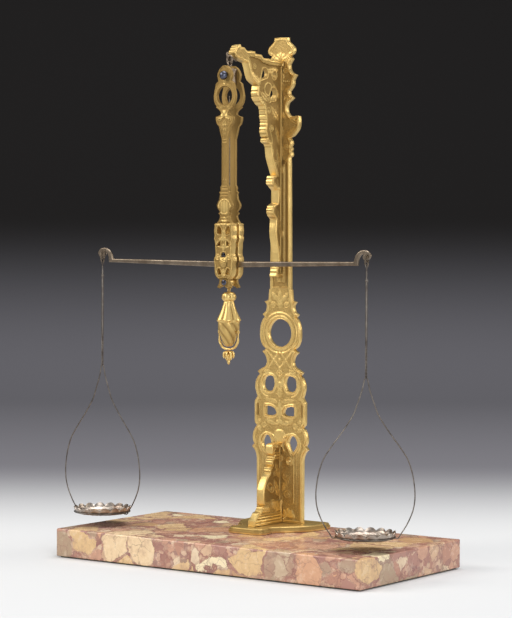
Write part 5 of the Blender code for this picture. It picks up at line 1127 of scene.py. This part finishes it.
VASE_SHARES = [
    (0.000, 1.000), (0.350, 0.992), (0.550, 0.954), (0.610, 0.908), (0.550, 0.855), (0.436, 0.832),
    (0.465, 0.800),
    (0.550, 0.725), (0.700, 0.634), (0.870, 0.557), (0.985, 0.500), (0.930, 0.480), (0.930, 0.405),
    (0.870, 0.313),
    (0.756, 0.221), (0.610, 0.130), (0.465, 0.053), (0.290, 0.015), (0.000, 0.000),
]
LEAF_DROP_SHARES = [
    (0.000, 1.000), (0.500, 0.980), (0.950, 0.860), (1.000, 0.700), (0.820, 0.520), (0.480, 0.360),
    (0.520, 0.220),
    (0.300, 0.080), (0.000, 0.000),
]
VASE_RADIUS = 14.0 * MM
VASE_HEIGHT = 64.9 * MM
PENDANT_FOOT_Z = 0.2598
PIVOT_PIN_Z = 0.2774
RING_HALF = 14.1 * MM


def vase_skin():
    """The pendant: a leafy knob, a bell of six broad flutes whose leaf tips hang over the rim, a bowl of
    twisted lobes."""
    rows = eased(np.array(VASE_SHARES) * (VASE_RADIUS, VASE_HEIGHT), 9)
    radius, height = np.maximum(rows[:, :1], 1e-5), rows[:, 1:2]
    up = height / VASE_HEIGHT
    turn = np.linspace(0, FULL_TURN, 144, endpoint=False)[None] + 0.35
    lobe = np.abs(np.cos(3 * turn)) ** 0.6
    knob = np.exp(-(((up - 0.91) / 0.045) ** 2))
    bell = np.clip((up - 0.46) / 0.05, 0, 1) * np.clip((0.83 - up) / 0.12, 0, 1)
    twist = np.abs(np.cos(3 * (turn + 1.5 * (up - 0.2) * math.pi))) ** 0.7
    bowl = np.clip((0.47 - up) / 0.04, 0, 1) * np.clip(up / 0.06, 0, 1)
    leaves = np.abs(np.cos(3 * turn + 0.5)) ** 0.5
    swell = 1 + 0.17 * bell * (lobe - 0.75) + 0.15 * knob * (leaves - 0.8) + 0.13 * bowl * (twist - 0.8)
    lip = np.exp(-(((up - 0.495) / 0.030) ** 2))
    reach = radius * swell * (1 + 0.05 * lip * lobe)
    level = height - 2.2 * MM * lip * lobe**2 + 0.5 * MM * lip
    # painted shade: darker between the bell's flutes, between the bowl's twisted lobes and over the whole
    # bowl, and between the knob's leaves
    hollow = bell * (1 - lobe) * 1.2 + bowl * (0.35 + 0.8 * (1 - twist)) + 0.8 * knob * (1 - leaves)
    rings = np.stack([STAND_X + reach * np.cos(turn), BALANCE_Y + reach * np.sin(turn),
                      PENDANT_FOOT_Z + level + 0 * turn], -1)
    return tube(rings, False, {"hollow": np.clip(hollow, 0, 1).ravel()})


def blade(root, tip, out, width, bend=0.35):
    """A small curled leaf: a bar from root to tip that bellies towards out, thick in its middle and fine at
    its tip."""
    root, tip, out = (np.asarray(spot, float) for spot in (root, tip, out))
    t = np.linspace(0, 1, 12)[:, None]
    path = root + (tip - root) * t + out * (bend * np.linalg.norm(tip - root) * np.sin(math.pi * t**0.8))
    thick = width * (0.35 + 0.65 * np.sin(math.pi * np.clip(t[:, 0] * 0.9 + 0.05, 0, 1)) ** 0.7)
    return wire(path, thick, np.cross(tip - root, out) + 1e-9, 10)


def drop_ring_skin():
    """The drop ring: a round under the vase, thicker below, with an eye on each pin and leaves laid along
    it."""
    turn = np.linspace(0, math.pi, 60)
    sink = PIVOT_PIN_Z - (PENDANT_FOOT_Z - 2.6 * MM)
    wide = np.sign(np.cos(turn)) * np.abs(np.cos(turn)) ** 0.7
    path = np.column_stack([STAND_X + RING_HALF * wide, np.full(60, BALANCE_Y),
                            PIVOT_PIN_Z - sink * np.sin(turn)])
    skins = [wire(path, (0.85 + 0.35 * np.sin(turn) ** 2) * MM, (0, 1, 0), 14)]
    for hand in (-1, 1):
        skins.append(ring((STAND_X + hand * RING_HALF, BALANCE_Y, PIVOT_PIN_Z), 1.5 * MM, 0.7 * MM, "YZ"))
        for start, end, width in ((6, 15, 1.25), (13, 22, 1.35), (20, 27, 1.2)):
            first, last = (path[start], path[end]) if hand > 0 else (path[-1 - start], path[-1 - end])
            outward = np.array([hand * 0.8, 0.0, -0.6])
            for aside in (-0.55, 0.55):
                skins.append(blade(first + (0, aside * MM, 0),
                                   last + outward * 1.1 * MM + (0, aside * 1.6 * MM, 0), outward,
                                   width * 0.75 * MM, 0.10))
    return joined(*skins)


def bud_skin(bottom, top):
    """The leaf bud: a lobed drop under a crown of curled leaves."""
    rows = eased(np.array(LEAF_DROP_SHARES) * (3.6 * MM, top - bottom - 3.4 * MM), 6)
    rows[:, 0] = np.maximum(rows[:, 0], 0)
    # painted shade: the last function darkens the creases between the drop's five lobes
    skins = [turned(rows, (STAND_X, BALANCE_Y, bottom), 2, 48, lambda turn,
                    share: 1 + 0.14 * np.cos(5 * turn) * np.sin(math.pi * share),
                    lambda turn, share: np.clip(-np.cos(5 * turn), 0, 1) * np.ones_like(share) * 0.8)]
    crown = top - 1.2 * MM
    for k in range(7):
        angle = k * FULL_TURN / 7 + 0.4
        out = np.array([math.cos(angle), math.sin(angle), 0.0])
        middle = np.array([STAND_X, BALANCE_Y, crown])
        drop = 5.6 if k % 2 else 7.6
        skins.append(blade(middle + out * 0.8 * MM, middle + out * 5.6 * MM - (0, 0, drop * MM),
                           out + (0, 0, 0.4), 1.45 * MM, 0.30))
        skins.append(blade(middle + out * 0.6 * MM, middle + out * 2.6 * MM - (0, 0, 10.2 * MM), out,
                           1.0 * MM, 0.22))
    return joined(*skins)


pins = wire([(STAND_X + side * 14.8 * MM, BALANCE_Y, PIVOT_PIN_Z) for side in (-1, 0, 1)], 0.9 * MM)
vase_loop = ring((STAND_X, BALANCE_Y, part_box("pendant_vase")[1][2] - 2.8 * MM), 2.1 * MM, 0.7 * MM, "YZ")
finished("fluted_pendant", joined(vase_skin(), vase_loop, pins), GILT, "pendant",
         ("pendant_vase",), sharp=60)
finished("leafy_drop_ring", drop_ring_skin(), GILT, "drop", ("drop_ring",), sharp=60)
bud_low, bud_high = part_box("leaf_drop")
finished("leaf_bud", bud_skin(bud_low[2], bud_high[2]), GILT, "drop", ("leaf_drop",), sharp=60)


# small fittings

def screw_skin(centre, axis, shank, head, start, end, shoulder, way):
    """A screw: a low domed head with a milled slot, and a shank with a running thread."""
    rows = [(0.0, 0.0), (0.35, 0.0), (0.7, 0.02), (0.9, 0.10), (1.0, 0.32), (1.0, 1.0)]
    thick = abs(end - shoulder)
    profile = [(head * r, end - way * thick * up) for r, up in rows]
    turns = np.linspace(0, 1, 60)
    reach = shoulder + (start - shoulder) * turns
    profile += [(shank * (1 + 0.10 * math.cos(t * FULL_TURN * 12)), z) for t, z in zip(turns, reach)]
    profile += [(0.4 * shank, start)]
    points, triangles, quads, marks = turned(profile, (0, 0, 0), axis, 48)
    order = {2: (0, 1, 2), 1: (0, 2, 1)}[axis]
    slot = (np.abs(points[:, order[0]]) < 0.16 * head) & (np.abs(points[:, order[2]] - end) < 0.35 * thick)
    points[:, order[2]] -= np.where(slot, way * 0.5 * thick, 0)
    return points + np.asarray(centre, float), triangles, quads, marks


for node in ("bracket_screw_top", "bracket_screw_middle", "bracket_screw_low", "gusset_screw_top",
             "gusset_screw_low"):
    low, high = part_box(node)
    middle = ((low[0] + high[0]) / 2, 0, (low[2] + high[2]) / 2)
    skin = screw_skin(middle, 1, 1.15 * MM, 3.0 * MM, low[1], high[1], high[1] - 1.5 * MM, 1)
    finished(node.replace("screw", "slotted_screw"), skin, STEEL, "stand", (node,), sharp=30)
for node, head, thick, shank in (("base_screw_left", 5.0, 4.0, 2.0), ("base_screw_right", 5.0, 4.0, 2.0),
                                 ("base_screw_front", 5.0, 4.0, 2.0),
                                 ("pillar_screw_left", 3.0, 1.5, 1.15),
                                 ("pillar_screw_right", 3.0, 1.5, 1.15)):
    low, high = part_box(node)
    middle = ((low[0] + high[0]) / 2, (low[1] + high[1]) / 2, 0)
    skin = screw_skin(middle, 2, shank * MM, head * MM, high[2], low[2], low[2] + thick * MM, -1)
    finished(node.replace("screw", "slotted_screw"), skin, STEEL, "stand", (node,), sharp=30)


def softened(name, node, material, body, width=0.18 * MM):
    """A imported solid's own form with its seams merged and every edge eased by a small round."""
    corners = corners_of(node).reshape(-1, 3)
    keys = np.round(corners / KEY).astype(np.int64)
    unique, number = np.unique(keys, axis=0, return_inverse=True)
    mesh = bpy.data.meshes.new(name)
    mesh.from_pydata((unique * KEY).tolist(), [], number.reshape(-1, 3).tolist())
    mesh.update()
    bm = bmesh.new()
    bm.from_mesh(mesh)
    bmesh.ops.dissolve_limit(bm, angle_limit=0.02, verts=bm.verts, edges=bm.edges)
    bm.to_mesh(mesh)
    bm.free()
    mesh.shade_smooth()
    piece = placed(name, mesh, material, body, (node,))
    ease = piece.modifiers.new("ease", "BEVEL")
    ease.width, ease.segments, ease.limit_method, ease.angle_limit = width, 2, "ANGLE", math.radians(32)
    ease.harden_normals = True


for node, name, material, slot, body in (
    ("suspension_eye", "eye_block", STEEL, "bright_steel", "shears"),
    ("top_nut", "top_hexagon_nut", BLUED, "blued_steel", "shears"),
    ("low_nut", "low_hexagon_nut", BLUED, "blued_steel", "shears"),
    ("pendant_eye", "pendant_eye_block", GILT, "gilt_bronze", "shears"),
    ("front_bearing", "front_bearing_plate", BLUED, "blued_steel", "shears"),
    ("rear_bearing", "rear_bearing_plate", BLUED, "blued_steel", "shears"),
    ("knife_edge", "ground_knife_edge", BLUED, "blued_steel", "beam"),
    ("tongue", "tongue_needle", STEEL, "bright_steel", "beam"),
    ("left_end_pin", "left_riveted_pin", STEEL, "bright_steel", "beam"),
    ("right_end_pin", "right_riveted_pin", STEEL, "bright_steel", "beam"),
    ("left_end_hook", "left_fork", STEEL, "bright_steel", "left_hook"),
    ("right_end_hook", "right_fork", STEEL, "bright_steel", "right_hook"),
):
    softened(name, node, material, body)
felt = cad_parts["baize_sheet"]
felt.data.materials.clear()
felt.data.materials.append(BAIZE)


# stage

def seated(name, data, right, up, back, spot):
    """Puts a lamp or camera at a spot in the scene, turned so that back points away from what it looks at."""
    rows = np.eye(4)
    rows[:3, 0], rows[:3, 1], rows[:3, 2], rows[:3, 3] = right, up, back, spot
    made = bpy.data.objects.new(name, data)
    made.matrix_world = Matrix(rows.tolist())
    bpy.context.scene.collection.objects.link(made)
    return made


def make_stage():
    """A pale floor that sweeps up behind, a pale world and soft lights."""
    t = np.linspace(0, math.pi / 2, 24)
    run = np.concatenate([[[-16.0, 0.0], [2.5, 0.0]],
                          np.stack([2.5 + 1.6 * np.sin(t), 1.6 * (1 - np.cos(t))], 1)[1:], [[4.1, 6.0]]])
    across = np.array([-16.0, 16.0])
    away = np.array([-0.586, 0.810])
    side = np.array([0.810, 0.586])
    grid = np.empty((len(run), 2, 3))
    grid[..., :2] = run[:, None, :1] * away + across[None, :, None] * side
    grid[..., 2] = run[:, None, 1]
    mesh = bpy.data.meshes.new("studio_sweep")
    faces = [(2 * k, 2 * k + 1, 2 * k + 3, 2 * k + 2) for k in range(len(run) - 1)]
    mesh.from_pydata(grid.reshape(-1, 3).tolist(), [], faces)
    mesh.shade_smooth()
    mesh.materials.append(make_floor_paint())
    floor = bpy.data.objects.new("studio_sweep", mesh)
    bpy.context.scene.collection.objects.link(floor)
    world = bpy.data.worlds.new("studio_air")
    world.use_nodes = True
    world.node_tree.nodes["Background"].inputs[0].default_value = (0.90, 0.94, 1.0, 1)
    world.node_tree.nodes["Background"].inputs[1].default_value = 0.42
    bpy.context.scene.view_settings.view_transform = "Standard"
    bpy.context.scene.world = world
    lamps = [
        ("key", (-1.9, -1.8, 2.0), 54.0, 1.7, (1.0, 0.97, 0.92)),
        ("fill", (2.2, -2.2, 1.0), 36.0, 1.6, (0.96, 0.98, 1.0)),
        ("top", (0.2, 0.3, 2.6), 54.0, 1.8, (1.0, 1.0, 1.0)),
        ("edge", (2.1, 2.2, 1.3), 20.0, 1.0, (1.0, 0.96, 0.90)),
    ]
    target = np.array([0.0, 0.0, 0.3])
    for name, spot, power, size, colour in lamps:
        light = bpy.data.lights.new(name, "AREA")
        light.energy, light.size, light.color = power, size, colour
        back = np.array(spot) - target
        back = back / np.linalg.norm(back)
        right = np.cross((0, 0, 1), back)
        right = right / np.linalg.norm(right)
        seated(name, light, right, np.cross(back, right), back, spot)


def make_camera():
    """The photograph's camera, from its solved place, turn, pitch and roll."""
    yaw, pitch, roll = 0.6261, 0.0351, 0.0036
    back = np.array([math.sin(yaw) * math.cos(pitch), -math.cos(yaw) * math.cos(pitch), math.sin(pitch)])
    right = np.array([math.cos(yaw), math.sin(yaw), 0.0])
    up = np.cross(back, right)
    across = math.cos(roll) * right + math.sin(roll) * up
    upward = -math.sin(roll) * right + math.cos(roll) * up
    lens = bpy.data.cameras.new("camera")
    lens.sensor_width, lens.sensor_fit, lens.lens = 36.0, "AUTO", 2255.9 * 36.0 / 618.0
    lens.clip_start, lens.clip_end = 0.05, 50.0
    bpy.context.scene.camera = seated("camera", lens, across, upward, back, (1.5719, -2.1737, 0.3976))


make_stage()
make_camera()
